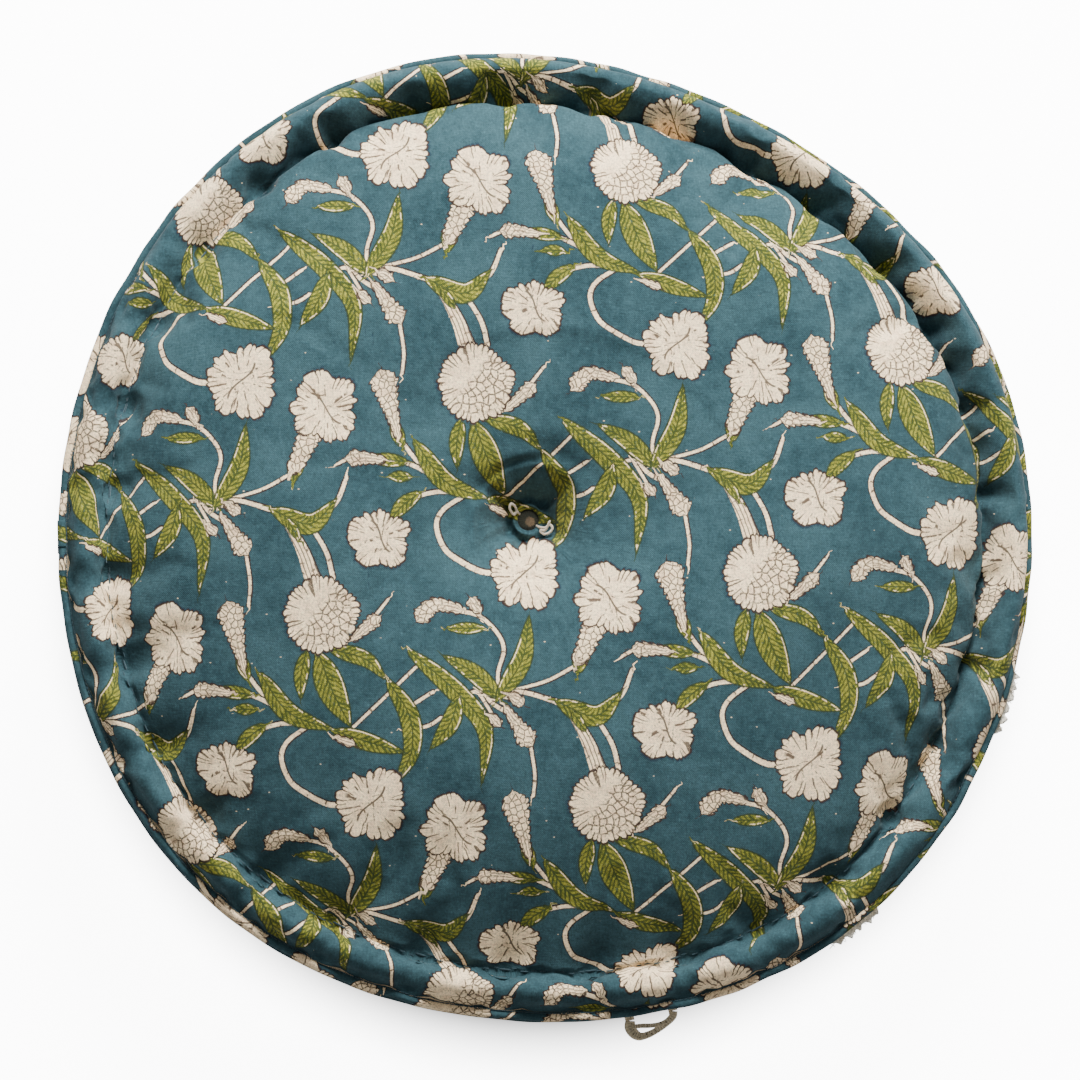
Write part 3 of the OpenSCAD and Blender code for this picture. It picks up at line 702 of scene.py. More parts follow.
def spread(values, count):
    return np.broadcast_to(values, (count,)).astype(float)


def swell_out(grid, wrap, times=1):
    """Doubles a grid of points in both directions along smooth curves. Columns wrap when wrap is true."""
    for _ in range(times):
        for axis, closed in ((0, False), (1, wrap)):
            p = np.moveaxis(grid, axis, 0)
            if closed:
                before, after, far = np.roll(p, 1, 0), np.roll(p, -1, 0), np.roll(p, -2, 0)
                mid = (9 * (p + after) - before - far) / 16
                out = np.empty((2 * len(p),) + p.shape[1:])
                out[0::2], out[1::2] = p, mid
            else:
                ext = np.concatenate([2 * p[:1] - p[1:2], p, 2 * p[-1:] - p[-2:-1]])
                mid = (9 * (ext[1:-2] + ext[2:-1]) - ext[:-3] - ext[3:]) / 16
                out = np.empty((2 * len(p) - 1,) + p.shape[1:])
                out[0::2], out[1::2] = p, mid
            grid = np.moveaxis(out, 0, axis)
    return grid


def grid_normals(grid, wrap=True):
    """Outward unit normals of a grid of rings by columns."""
    down = np.gradient(grid, axis=0)
    if wrap:
        around = (np.roll(grid, -1, 1) - np.roll(grid, 1, 1)) / 2
    else:
        around = np.gradient(grid, axis=1)
    normal = np.cross(down, around)
    size = np.linalg.norm(normal, axis=2, keepdims=True)
    return normal / np.maximum(size, 1e-12)


def grid_mesh(name, grid, uv=None, wrap=True, uv_turn=0.0, first_pole=None, last_pole=None, mat=None):
    """A smooth mesh piece from rings by columns in metres. uv is per point; uv_turn is what one turn adds."""
    rings, cols = grid.shape[:2]
    verts = grid.reshape(-1, 3)
    index = np.arange(rings * cols).reshape(rings, cols)
    if wrap:
        index = np.concatenate([index, index[:, :1]], 1)

    def corners(grid, axis):
        return np.stack([grid[:-1, :-1], grid[1:, :-1], grid[1:, 1:], grid[:-1, 1:]], axis)

    quads = corners(index, -1).reshape(-1, 4)
    corner_uv = None
    if uv is not None:
        wide = np.concatenate([uv, uv[:, :1] + [uv_turn, 0.0]], 1) if wrap else uv
        corner_uv = corners(wide, 2).reshape(-1, 4, 2)
    tris, tri_uv = [], []
    for pole, row, flip in ((first_pole, 0, False), (last_pole, rings - 1, True)):
        if pole is None:
            continue
        verts = np.vstack([verts, pole])
        at = len(verts) - 1
        a, b = index[row, :-1], index[row, 1:]
        tris.append(np.stack([np.full(len(a), at), b, a] if flip else [np.full(len(a), at), a, b], 1))
        if uv is not None:
            edge = wide[row] if wrap else uv[row]
            hub = np.repeat(uv[row].mean(0)[None], len(a), 0)
            tri_uv.append(np.stack([hub, edge[1:], edge[:-1]] if flip else [hub, edge[:-1], edge[1:]], 1))
    faces = [quads.tolist()] + [t.tolist() for t in tris]
    mesh = bpy.data.meshes.new(name)
    mesh.from_pydata(verts.tolist(), [], [f for part in faces for f in part])
    if uv is not None:
        flat = np.concatenate([corner_uv.reshape(-1, 2)] + [t.reshape(-1, 2) for t in tri_uv])
        mesh.uv_layers.new(name="cloth").data.foreach_set("uv", flat.astype(np.float32).ravel())
    mesh.shade_smooth()
    mesh.validate()
    return add_piece(name, mesh, mat)


def add_piece(name, mesh, mat=None):
    piece = bpy.data.objects.new(name, mesh)
    bpy.context.scene.collection.objects.link(piece)
    if mat is not None:
        mesh.materials.clear()
        mesh.materials.append(mat)
    return piece


def printed(piece):
    """Gives a cloth piece its printed shapes."""
    mesh = piece.data
    uv = np.empty(len(mesh.loops) * 2, np.float32)
    mesh.uv_layers["cloth"].data.foreach_get("uv", uv)
    print_attributes(mesh, uv.reshape(-1, 2).astype(float))
    return piece


# ---- the casing's shape, in millimetres

OUTLINE = ((1, 4.1, -145.0), (2, 4.2, -36.5), (3, 2.7, -6.0), (4, 2.8, 31.5), (5, 1.0, 21.5))
DEEP = ((120, 139), (150, 137), (180, 133.6), (205, 129.4), (225, 124.5), (242, 118.3), (255.5, 110.8),
        (264.5, 103.6), (268.8, 96.6), (268.2, 91.0), (267.8, 87.4), (269.6, 90.0), (272.2, 94.8),
        (276.0, 100.4), (280.8, 105.6), (285.6, 108.6), (289.8, 108.4), (293.2, 105.2), (295.3, 100.8),
        (295.6, 97.3))
SHALLOW = ((120, 138), (150, 135.8), (180, 132), (205, 127.4), (225, 122.2), (242, 116.4), (254.5, 110.9),
           (262.5, 106.8), (266.6, 104.5), (268.8, 103.1), (270.2, 102.3), (271.6, 102.2), (273.4, 102.9),
           (276.2, 104.4), (279.8, 106.0), (284.2, 106.9), (288.8, 106.0), (292.6, 103.2), (295.0, 99.8),
           (295.6, 97.3))
DIVISIONS = (5, 5, 5, 4, 3, 3, 2, 2, 1, 1, 1, 1, 1, 1, 1, 1, 1, 1, 1)
GROOVE_POINT = 10
BOXING = ((295.6, 96.7), (294.8, 92.6), (292.2, 88.4), (288.0, 85.0), (283.2, 83.6), (279.2, 83.6),
          (277.0, 81.8), (278.6, 77.4), (283.0, 70.0), (287.0, 63.0), (288.6, 56.0))
LOW_ROLL = ((295.6, 14.7), (295.0, 11.4), (292.4, 7.2), (287.8, 3.4), (282.3, 2.2), (276.6, 4.0),
            (272.4, 8.8), (270.2, 14.6), (268.2, 19.6), (265.4, 18.2), (263.2, 12.4), (258.6, 6.0),
            (251.0, 2.0), (240.0, 0.5), (225.0, 0.3))
LOW_RINGS = (210, 192, 174, 156, 138, 120, 102, 86, 72, 60, 50, 42, 35, 29, 24, 19.5, 15.5, 12)
LIP = ((2.0, 94.6), (4.5, 94.6), (7.0, 94.7), (9.0, 94.9), (10.1, 96.0), (9.9, 97.8), (8.6, 99.2),
       (7.3, 100.0), (6.5, 100.7), (6.7, 101.5), (7.8, 102.4), (9.6, 103.6))
TUFT_RINGS = (12, 15, 18.5, 22, 26, 30, 34.5, 39, 44, 49, 54, 59, 64, 69, 74, 79, 84.5, 90, 96, 102, 108, 114)


def outline(theta):
    """How far the seam stands outside a true circle, in millimetres."""
    return -0.76 + sum(size * np.cos(k * (theta - np.radians(peak))) for k, size, peak in OUTLINE)


def smoothstep(x, low=0.0, high=1.0):
    t = np.clip((x - low) / (high - low), 0, 1)
    return t * t * (3 - 2 * t)


def dome_z(r):
    return 139.6 - 2.6 * (r / 150.0) ** 2.1


def place_rings(q, theta, centre=TUFT, fade=120.0):
    """Rings about the tuft that become rings about the cushion's middle. q is (rings,)."""
    middle = np.array(centre)[None, :] * (1 - smoothstep(q / fade))[:, None]
    return (middle[:, None, 0] + q[:, None] * np.cos(theta), middle[:, None, 1] + q[:, None] * np.sin(theta))


class Casing:
    """The whole cover as one closed grid of rings: tuft, dome, roll, boxing, low roll, base, low tuft."""

    def __init__(self, dimple):
        theta = (np.arange(SEGMENTS) + 0.5) * 2 * np.pi / SEGMENTS
        deep = smoothstep(np.cos(theta - np.radians(52)), -0.35, 0.55)
        rows = []      # x, y, z, cloth x, cloth y, each (segments,)
        marks = {}

        def ring(x, y, z, cx, cy):
            rows.append(np.stack([spread(v, SEGMENTS) for v in (x, y, z, cx, cy)], -1))

        for r, z in LIP:
            x, y = TUFT[0] + r * np.cos(theta), TUFT[1] + r * np.sin(theta)
            ring(x, y, z, x, y)
        marks["lip"] = len(rows)
        q = np.array(TUFT_RINGS, float)
        x, y = place_rings(q, theta)
        radius = np.hypot(x, y)
        from_tuft = np.hypot(x - TUFT[0], y - TUFT[1])
        pull = np.exp(-(from_tuft - 9.0) / 26.0)
        z = dome_z(radius) - (dimple * (0.82 * pull + 0.18 * pull ** 3))
        for i in range(len(q)):
            ring(x[i], y[i], z[i], x[i], y[i])
        upper = [smooth_curve(p, DIVISIONS) for p in (SHALLOW, DEEP)]
        start = DEEP[0][0]
        cloths = start + lengths_along((upper[0] + upper[1]) / 2)
        for i, ((r0, z0), (r1, z1), cloth) in enumerate(zip(*upper, cloths)):
            r, z = r0 + (r1 - r0) * deep, z0 + (z1 - z0) * deep
            if i == 0:
                off = np.hypot(r * np.cos(theta) - TUFT[0], r * np.sin(theta) - TUFT[1])
                z = dome_z(start) - dimple * 0.82 * np.exp(-(off - 9) / 26)
            ring(r * np.cos(theta), r * np.sin(theta), z, cloth * np.cos(theta), cloth * np.sin(theta))
        marks["groove"] = marks["lip"] + len(q) + sum(DIVISIONS[:GROOVE_POINT])
        marks["seam"] = len(rows) - 1
        sides = list(BOXING) + [(r, 2 * MID_Z - z) for r, z in BOXING[-2::-1]]
        marks["pinch"] = len(rows) + 6
        for (r, z), cloth in zip(sides, lengths_along(sides)):
            ring(r * np.cos(theta), r * np.sin(theta), z, theta * BOXING_CLOTH_R, -cloth)
        marks["low_pinch"] = len(rows) - 7
        marks["low_seam"] = len(rows)
        lengths = lengths_along(LOW_ROLL)
        total = lengths[-1] + LOW_ROLL[-1][0]
        for (r, z), gone in zip(LOW_ROLL, lengths):
            out = total - gone
            ring(r * np.cos(theta), r * np.sin(theta), z, -out * np.cos(theta), out * np.sin(theta))
        marks["low_groove"] = marks["low_seam"] + 8
        marks["base"] = len(rows)
        q = np.array(LOW_RINGS, float)
        x, y = place_rings(q, theta)
        from_tuft = np.hypot(x - TUFT[0], y - TUFT[1])
        lift = 22.5 * (1 - smoothstep((from_tuft - 8) / 44.0)) ** 1.6
        for i in range(len(q)):
            ring(x[i], y[i], 0.3 + lift[i], -x[i], y[i])
        for r in (10.4, 9.4, 7, 4.5, 2):
            x, y = TUFT[0] + r * np.cos(theta), TUFT[1] + r * np.sin(theta)
            ring(x, y, 22.4, -x, y)
        data = np.array(rows)
        r = np.hypot(data[..., 0], data[..., 1])
        grow = 1 + outline(theta)[None] / 300.0 * smoothstep(r, 60, 290)
        data[..., 0] *= grow
        data[..., 1] *= grow
        self.theta, self.deep, self.marks = theta, deep, marks
        self.points = data[..., :3] * MM
        self.cloth = data[..., 3:] * MM

    def fill(self, settings):
        """Lets pressure fill the casing between its stitches, then keeps only the folds and swellings."""
        grid = self.points
        piece = grid_mesh("casing_form", grid, first_pole=grid[0].mean(0), last_pole=grid[-1].mean(0))
        rings, cols = grid.shape[:2]
        pins = np.zeros((rings, cols))
        m = self.marks
        pins[:m["lip"] + 5] = 1
        pins[m["base"] - 2:] = 1
        pins[m["seam"]:m["seam"] + 2] = 1
        pins[m["low_seam"] - 1:m["low_seam"] + 1] = 1
        at = (np.arange(STITCHES) * SEGMENTS // STITCHES) + SEGMENTS // STITCHES // 2
        for row, reach in (("groove", 1), ("pinch", 0), ("low_pinch", 0), ("low_groove", 1)):
            for step in range(-reach, reach + 1):
                pins[m[row] + step, at] = 1
            pins[m[row]] = np.maximum(pins[m[row]], PART_HELD)
        group = piece.vertex_groups.new(name="held")
        for weight in (1.0, PART_HELD):
            found = np.flatnonzero(np.isclose(pins.ravel(), weight)).tolist()
            group.add(found, weight, "REPLACE")
        group.add([rings * cols, rings * cols + 1], 1.0, "REPLACE")
        cloth = piece.modifiers.new("fill", "CLOTH")
        s = cloth.settings
        s.quality = 5
        s.mass = 0.25
        s.tension_stiffness = s.compression_stiffness = 25
        s.shear_stiffness = 8
        s.bending_stiffness = 0.6
        s.air_damping = 1.5
        s.vertex_group_mass = "held"
        s.pin_stiffness = 1.0
        s.use_pressure = True
        s.uniform_pressure_force = settings.swell
        s.shrink_min = -settings.slack
        s.effector_weights.gravity = 0.0
        cloth.collision_settings.use_collision = False
        scene = bpy.context.scene
        scene.frame_start, scene.frame_end = 1, settings.frames
        cloth.point_cache.frame_start, cloth.point_cache.frame_end = 1, settings.frames
        for frame_no in range(1, settings.frames + 1):
            scene.frame_set(frame_no)
        ready = piece.evaluated_get(bpy.context.evaluated_depsgraph_get()).data
        moved = np.empty(len(ready.vertices) * 3, np.float32)
        ready.vertices.foreach_get("co", moved)
        moved = moved.reshape(-1, 3)[:rings * cols].reshape(grid.shape).astype(float)
        scene.frame_set(1)
        mesh = piece.data
        bpy.data.objects.remove(piece)
        bpy.data.meshes.remove(mesh)
        normal = grid_normals(grid)
        move = moved - grid
        out = (move * normal).sum(2)
        aside = move - out[..., None] * normal
        out = out - out.mean(1, keepdims=True)
        cap = settings.cap
        out = cap * np.tanh(out / cap)
        size = np.linalg.norm(aside, axis=2, keepdims=True)
        aside *= np.tanh(size / 0.002) * 0.002 / np.maximum(size, 1e-9)
        self.points = grid + out[..., None] * normal + aside
        self.points[..., 2] = np.maximum(self.points[..., 2], OFF_FLOOR)

    def refine(self, pucker):
        """Halves the grid and adds the folds that the edge stitches and the tuft draw into the cloth."""
        grid = swell_out(self.points, True)
        cloth = self.cloth
        wide = np.concatenate([cloth, cloth[:, :1]], 1)
        boxing = slice(self.marks["seam"] + 1, self.marks["low_seam"])
        wide[boxing, -1, 0] += 2 * np.pi * BOXING_CLOTH_R * MM
        fine = swell_out(wide, False)
        self.cloth = fine[:, :-1]
        self.cloth_wide = fine
        cols = grid.shape[1]
        theta = (0.5 + np.arange(cols) / 2) * 2 * np.pi / SEGMENTS
        m = {key: 2 * value for key, value in self.marks.items()}
        steps = np.linalg.norm(np.diff(grid, axis=0), axis=2).mean(1) / MM
        along = np.concatenate([[0.0], np.cumsum(steps)])
        normal = grid_normals(grid)
        deep = np.interp(theta, self.theta, self.deep, period=2 * np.pi)
        rng = np.random.default_rng(7)
        push = np.zeros(grid.shape[:2])

        def fold(row, angle, depth, wide, up, down, lean=0.0, from_row=0, to_row=len(grid)):
            """One fold from a ring of stitches, up towards the dome and down over the roll, in mm."""
            d = along[from_row:to_row, None] - along[row]
            off = (theta[None] - angle + np.pi) % (2 * np.pi) - np.pi
            off = off * 280.0 - lean * d
            reach = np.where(d < 0, np.exp(-(d / up) ** 2), np.exp(-(d / down) ** 2))
            width = wide * (1 + 0.055 * np.abs(d))
            push[from_row:to_row] -= depth * reach * np.exp(-(off / width) ** 2)

        seam, low = m["seam"], m["low_seam"]
        for k in range(STITCHES):
            angle = (k + 0.5) * 2 * np.pi / STITCHES
            tight = 0.75 + 0.5 * rng.random()
            d = deep[np.argmin(np.abs((theta - angle + np.pi) % (2 * np.pi) - np.pi))]
            fold(m["groove"], angle, pucker * tight * (1.55 - 0.25 * d), 4.2 + 5 * (1 - d), 20 - 13 * d,
                 16 + 6 * rng.random(), rng.normal(0, 0.25), 0, seam)
            fold(m["pinch"], angle, pucker * 0.9 * tight, 4.0, 9, 16, rng.normal(0, 0.15), seam + 2, low)
            fold(m["low_pinch"], angle, pucker * 0.9 * tight, 4.0, 16, 9, rng.normal(0, 0.15), seam + 2, low)
            fold(m["low_groove"], angle, pucker * tight, 4.2, 14, 14, rng.normal(0, 0.2), low + 2, m["base"])
        for _ in range(96):
            angle = rng.uniform(0, 2 * np.pi)
            d = deep[np.argmin(np.abs((theta - angle + np.pi) % (2 * np.pi) - np.pi))]
            fold(m["groove"], angle, rng.normal(0, 0.55) * (0.45 + d), rng.uniform(2.5, 6),
                 6 + 5 * rng.random(), rng.uniform(8, 26), rng.normal(0, 0.35), 0, seam)
        for _ in range(70):
            fold(m["pinch"], rng.uniform(0, 2 * np.pi), rng.normal(0, 0.7), rng.uniform(3, 8), 8,
                 rng.uniform(10, 40), rng.normal(0, 0.3), seam + 2, low)
            fold(m["low_pinch"], rng.uniform(0, 2 * np.pi), rng.normal(0, 0.7), rng.uniform(3, 8),
                 rng.uniform(10, 40), 8, rng.normal(0, 0.3), seam + 2, low)
            fold(m["low_groove"], rng.uniform(0, 2 * np.pi), rng.normal(0, 0.6), rng.uniform(3, 6), 12, 10,
                 rng.normal(0, 0.3), low + 2, m["base"])
        # A slack seam puckers a little where it is sewn to the welt.
        for _ in range(150):
            fold(seam - 1, rng.uniform(0, 2 * np.pi), rng.normal(0, 0.35), rng.uniform(2, 5),
                 rng.uniform(4, 11), 3, rng.normal(0, 0.5), m["groove"], seam)
        x, y = grid[..., 0] / MM, grid[..., 1] / MM
        away = np.hypot(x - TUFT[0], y - TUFT[1])
        turn = np.arctan2(y - TUFT[1], x - TUFT[0])
        top = np.arange(len(grid))[:, None] < m["groove"]
        for _ in range(15):
            angle, span = rng.uniform(-np.pi, np.pi), rng.uniform(14, 34)
            off = (turn - angle - rng.normal(0, 0.004) * away + np.pi) % (2 * np.pi) - np.pi
            hold = np.exp(-((away - 12) / span) ** 2) * smoothstep(away, 8, 14) * top
            push -= rng.uniform(0.9, 2.4) * hold * np.exp(-(off * away / (1.6 + 0.10 * away)) ** 2)
        lumps = sum(rng.normal(0, 0.5) * np.sin(x * rng.normal(0, 0.035) + y * rng.normal(0, 0.035)
                                                + rng.uniform(0, 6)) for _ in range(9))
        push += lumps * smoothstep(away, 30, 90) * top * smoothstep(270 - np.hypot(x, y), 0, 30)
        grid = grid + push[..., None] * MM * normal
        on_floor = np.arange(len(grid))[:, None] > low
        grid[..., 2] = np.where(on_floor, np.maximum(grid[..., 2], OFF_FLOOR), grid[..., 2])
        self.points, self.theta, self.deep, self.marks = grid, theta, deep, m

    def piece(self, name, rows, cols=None, mat=None, inward=(0, 0), **poles):
        """Cuts one cloth piece out of the casing; inward turns its first or last edge in, as sewn."""
        grid, uv = self.points[rows], self.cloth[rows]
        if cols is not None:
            grid, uv = grid[:, cols], self.cloth_wide[rows][:, cols]
        parts, cloths = [grid], [uv]
        for end, turn in zip((0, -1), inward):
            if turn:
                edge, flat = grid[end], uv[end]
                unit = edge / np.linalg.norm(edge[:, :2], axis=1, keepdims=True) * [1, 1, 0]
                flaps = [edge - unit * d * MM + [0, 0, turn * 0.15 * MM] for d in (2.5, 7.0)]
                if end:
                    parts, cloths = parts + flaps, cloths + [flat, flat]
                else:
                    parts, cloths = flaps[::-1] + parts, [flat, flat] + cloths
        grid = np.concatenate([p if p.ndim == 3 else p[None] for p in parts])
        uv = np.concatenate([p if p.ndim == 3 else p[None] for p in cloths])
        return printed(grid_mesh(name, grid, uv, wrap=cols is None, mat=mat, **poles))


CLOTHS = {}


def own(piece, body, slot, *nodes):
    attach(piece, body)
    if nodes:
        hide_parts(*nodes)
    return piece


# ---- operators

class CUSHION_OT_casing(bpy.types.Operator):
    """Sew and fill the printed casing: top, bottom and two boxing strips"""
    bl_idname = "cushion.casing"
    bl_label = "Casing"

    def execute(self, context):
        settings = context.scene.cushion_casing
        cover = Casing(settings.dimple / MM)
        cover.fill(settings)
        cover.refine(settings.pucker / MM)
        CLOTHS["cover"] = cover
        CLOTHS["printed"] = make_cloth(context.scene.cushion_print)
        mat, m = CLOTHS["printed"], cover.marks
        top = cover.piece("printed_top", slice(0, m["seam"] + 1), mat=mat, inward=(0, 1),
                          first_pole=cover.points[0].mean(0))
        own(top, "cushion", "printed_cloth", "top_panel")
        between = slice(m["seam"] + 2, m["low_seam"] - 1)
        for name, cols, node in (("boxing_back", [-1, *range(SEGMENTS)], "back_boxing"),
                                 ("boxing_front", list(range(SEGMENTS - 1, 2 * SEGMENTS)), "front_boxing")):
            strip = cover.piece(name, between, cols=cols, mat=mat, inward=(-1, 1))
            own(strip, "cushion", "printed_cloth", node)
        base = cover.piece("printed_bottom", slice(m["low_seam"], len(cover.points)), mat=mat, inward=(-1, 0),
                           last_pole=cover.points[-1].mean(0))
        own(base, "cushion", "printed_cloth", "bottom_panel")
        return {"FINISHED"}


# ---- threads, tubes and tapes

def stitch_tree():
    """Geometry Nodes that lay one short thread at each point, along its own direction."""
    tree = bpy.data.node_groups.new("Thread stitches", "GeometryNodeTree")
    face = tree.interface
    face.new_socket("Points", in_out="INPUT", socket_type="NodeSocketGeometry")
    for label, kind, default in (("Stitch length", "Float", 0.006), ("Thread radius", "Float", 0.0005),
                                 ("Rise", "Float", 0.0004), ("Unevenness", "Float", 0.15),
                                 ("Seed", "Int", 3)):
        made = face.new_socket(label, in_out="INPUT", socket_type=f"NodeSocket{kind}")
        made.default_value = default
    face.new_socket("Thread", in_out="INPUT", socket_type="NodeSocketMaterial")
    face.new_socket("Mesh", in_out="OUTPUT", socket_type="NodeSocketGeometry")
    pen = Pen(tree)
    got, end = pen.node("NodeGroupInput").outputs, pen.node("NodeGroupOutput").inputs
    half = pen.mul(got["Stitch length"], 0.5)
    arc = pen.node("GeometryNodeCurveQuadraticBezier")
    arc.inputs["Resolution"].default_value = 4
    pen.put(arc.inputs["Start"], pen.join(pen.mul(half, -1.0), 0.0, pen.mul(got["Rise"], -0.6)))
    pen.put(arc.inputs["Middle"], pen.join(0.0, 0.0, pen.mul(got["Rise"], 1.4)))
    pen.put(arc.inputs["End"], pen.join(half, 0.0, pen.mul(got["Rise"], -0.6)))
    ring = pen.node("GeometryNodeCurvePrimitiveCircle")
    ring.inputs["Resolution"].default_value = 6
    pen.put(ring.inputs["Radius"], got["Thread radius"])
    thread = pen.node("GeometryNodeCurveToMesh")
    thread.inputs["Fill Caps"].default_value = True
    tree.links.new(arc.outputs[0], thread.inputs["Curve"])
    tree.links.new(ring.outputs[0], thread.inputs["Profile Curve"])
    turn = None
    for axis, pivot, name in (("X", "AUTO", "along"), ("Z", "X", "up")):
        made = pen.node("FunctionNodeAlignRotationToVector", axis=axis, pivot_axis=pivot)
        way = pen.node("GeometryNodeInputNamedAttribute", data_type="FLOAT_VECTOR")
        way.inputs["Name"].default_value = name
        tree.links.new(way.outputs[0], made.inputs["Vector"])
        if turn is not None:
            tree.links.new(turn, made.inputs["Rotation"])
        turn = made.outputs[0]
    vary = pen.node("FunctionNodeRandomValue", data_type="FLOAT")
    pen.put(vary.inputs[2], pen.sub(1.0, got["Unevenness"]))
    pen.put(vary.inputs[3], pen.add(1.0, got["Unevenness"]))
    pen.put(vary.inputs["Seed"], got["Seed"])
    lay = pen.node("GeometryNodeInstanceOnPoints")
    tree.links.new(got["Points"], lay.inputs["Points"])
    tree.links.new(thread.outputs[0], lay.inputs["Instance"])
    tree.links.new(turn, lay.inputs["Rotation"])
    pen.put(lay.inputs["Scale"], pen.join(vary.outputs[1], 1.0, 1.0))
    real = pen.node("GeometryNodeRealizeInstances")
    tree.links.new(lay.outputs[0], real.inputs[0])
    smooth = pen.node("GeometryNodeSetShadeSmooth")
    tree.links.new(real.outputs[0], smooth.inputs[0])
    finish = pen.node("GeometryNodeSetMaterial")
    tree.links.new(smooth.outputs[0], finish.inputs[0])
    tree.links.new(got["Thread"], finish.inputs["Material"])
    tree.links.new(finish.outputs[0], end[0])
    return tree


def lay_stitches(name, places, along, up, mat, **sizes):
    """One mesh of stitches. places, along and up are (n, 3) in metres; sizes are the tree's inputs."""
    tree = bpy.data.node_groups.get("Thread stitches") or stitch_tree()
    mesh = bpy.data.meshes.new(name + "_points")
    mesh.from_pydata(np.asarray(places).tolist(), [], [])
    for label, values in (("along", along), ("up", up)):
        data = np.broadcast_to(values, np.shape(places)).astype(np.float32)
        mesh.attributes.new(label, "FLOAT_VECTOR", "POINT").data.foreach_set("vector", data.ravel())
    points = bpy.data.objects.new(name + "_points", mesh)
    bpy.context.scene.collection.objects.link(points)
    lay = points.modifiers.new("stitches", "NODES")
    lay.node_group = tree
    ids = {item.name: item.identifier for item in tree.interface.items_tree if item.in_out == "INPUT"}
    for label, value in {**sizes, "Thread": mat}.items():
        lay[ids[label.replace("_", " ")]] = value
    graph = bpy.context.evaluated_depsgraph_get()
    made = bpy.data.meshes.new_from_object(points.evaluated_get(graph), preserve_all_data_layers=True,
                                           depsgraph=graph)
    made.name = name
    for label in ("along", "up"):
        if label in made.attributes:
            made.attributes.remove(made.attributes[label])
    bpy.data.objects.remove(points)
    bpy.data.meshes.remove(mesh)
    return add_piece(name, made)


def frames_on(path, closed):
    """Tangent, side and up at each point of a path; side stays level where it can."""
    path = np.asarray(path, float)
    if closed:
        run = np.roll(path, -1, 0) - np.roll(path, 1, 0)
    else:
        run = np.gradient(path, axis=0)
    run /= np.linalg.norm(run, axis=1, keepdims=True)
    side = np.cross(run, [0, 0, 1.0])
    flat = np.linalg.norm(side, axis=1, keepdims=True)
    side = np.where(flat > 0.15, side / np.maximum(flat, 1e-9), [1.0, 0, 0])
    up = np.cross(side, run)
    up /= np.linalg.norm(up, axis=1, keepdims=True)
    side = np.cross(run, up)
    return run, side, up


def capped(name, line, grid, uv, mat):
    """A piece from a grid whose rows run along the line, closed at the line's two ends."""
    caps = [np.repeat(line[end][None, None], len(grid), 0) for end in (0, -1)]
    grid = np.concatenate([caps[0], grid, caps[1]], 1)
    uv = np.concatenate([uv[:, :1], uv, uv[:, -1:]], 1)
    return weld(grid_mesh(name, grid, uv, wrap=False, mat=mat))


def tube(name, path, section, closed=True, mat=None):
    """A closed tube along path. section(t, angle) gives its (side, up) offsets in metres, t from 0 to 1."""
    path = np.asarray(path, float)
    run, side, up = frames_on(path, closed)
    angles = np.linspace(0, 2 * np.pi, 12, endpoint=False)
    t = np.linspace(0, 1, len(path), endpoint=not closed)
    a, b = section(t[:, None], angles[None])
    grid = path[:, None] + a[..., None] * side[:, None] + b[..., None] * up[:, None]
    gone = lengths_along(path)
    # Rings of the grid run round the section, columns along the path.
    grid = np.moveaxis(grid, 0, 1)
    grid = np.concatenate([grid, grid[:1]])
    across = np.linspace(0, 1, len(grid))[:, None] * WELT_CLOTH_WIDE
    uv = np.stack(np.broadcast_arrays(gone[None], across), -1)
    if not closed:
        return capped(name, path, grid, uv, mat)
    total = gone[-1] + np.linalg.norm(path[0] - path[-1])
    return weld(grid_mesh(name, grid, uv, uv_turn=total, mat=mat))


def weld(piece):
    """Closes seams and poles of a piece, and turns its faces outwards."""
    made = bmesh.new()
    made.from_mesh(piece.data)
    bmesh.ops.remove_doubles(made, verts=made.verts, dist=1e-6)
    bmesh.ops.recalc_face_normals(made, faces=made.faces)
    made.to_mesh(piece.data)
    made.free()
    piece.data.shade_smooth()
    return piece


def at_angle(r, degrees, z):
    """A point of the ring, its outward direction and its direction round the ring."""
    a = np.radians(degrees)
    out = np.stack([np.cos(a), np.sin(a), 0 * a], -1)
    around = np.stack([-np.sin(a), np.cos(a), 0 * a], -1)
    height = np.broadcast_to(np.asarray(z, float), np.shape(a))
    place = out * np.asarray(r)[..., None] + np.stack([0 * a, 0 * a, height], -1)
    return place * MM, out, around


# ---- plain finishes

def thread_material(name, tone, dark, pitch=0.0008):
    """Spun cotton in Object coordinates: twisted strands, flecks and a soft bump."""
    mat, pen, shader = material(name, 0.85, Sheen_Weight=0.25)
    place = pen.node("ShaderNodeTexCoord").outputs["Object"]
    fine = pen.noise(place, 1.3 / pitch, 3.0, 0.65, flat=False)
    broad = pen.noise(place, 90.0, 2.0, flat=False)
    spun = pen.mix(pen.step(fine, 0.3, 0.7), dark, tone)
    spun = pen.mix(pen.mul(pen.step(broad, 0.35, 0.75), 0.35), spun, paler(tone, 1.25))
    surface(pen, shader, fine, pitch * 0.35, Base_Color=spun, Roughness=pen.ramp(fine, 0.2, 0.8, 0.75, 0.95))
    return mat


def make_plain_cloth(name, tone, pitch=0.0009):
    """Unprinted woven cotton, in Object coordinates."""
    mat, pen, shader = material(name, 0.9, Sheen_Weight=0.2)
    place = pen.node("ShaderNodeTexCoord").outputs["Object"]
    mottled = pen.mix(pen.step(pen.noise(place, 60.0, 3.0, flat=False), 0.3, 0.7), darker(tone, 0.72), tone)
    weave_finish(pen, shader, None, 0.0003, Cloth=place, Pitch=pitch, Heather=0.7, Color=mottled)
    return mat


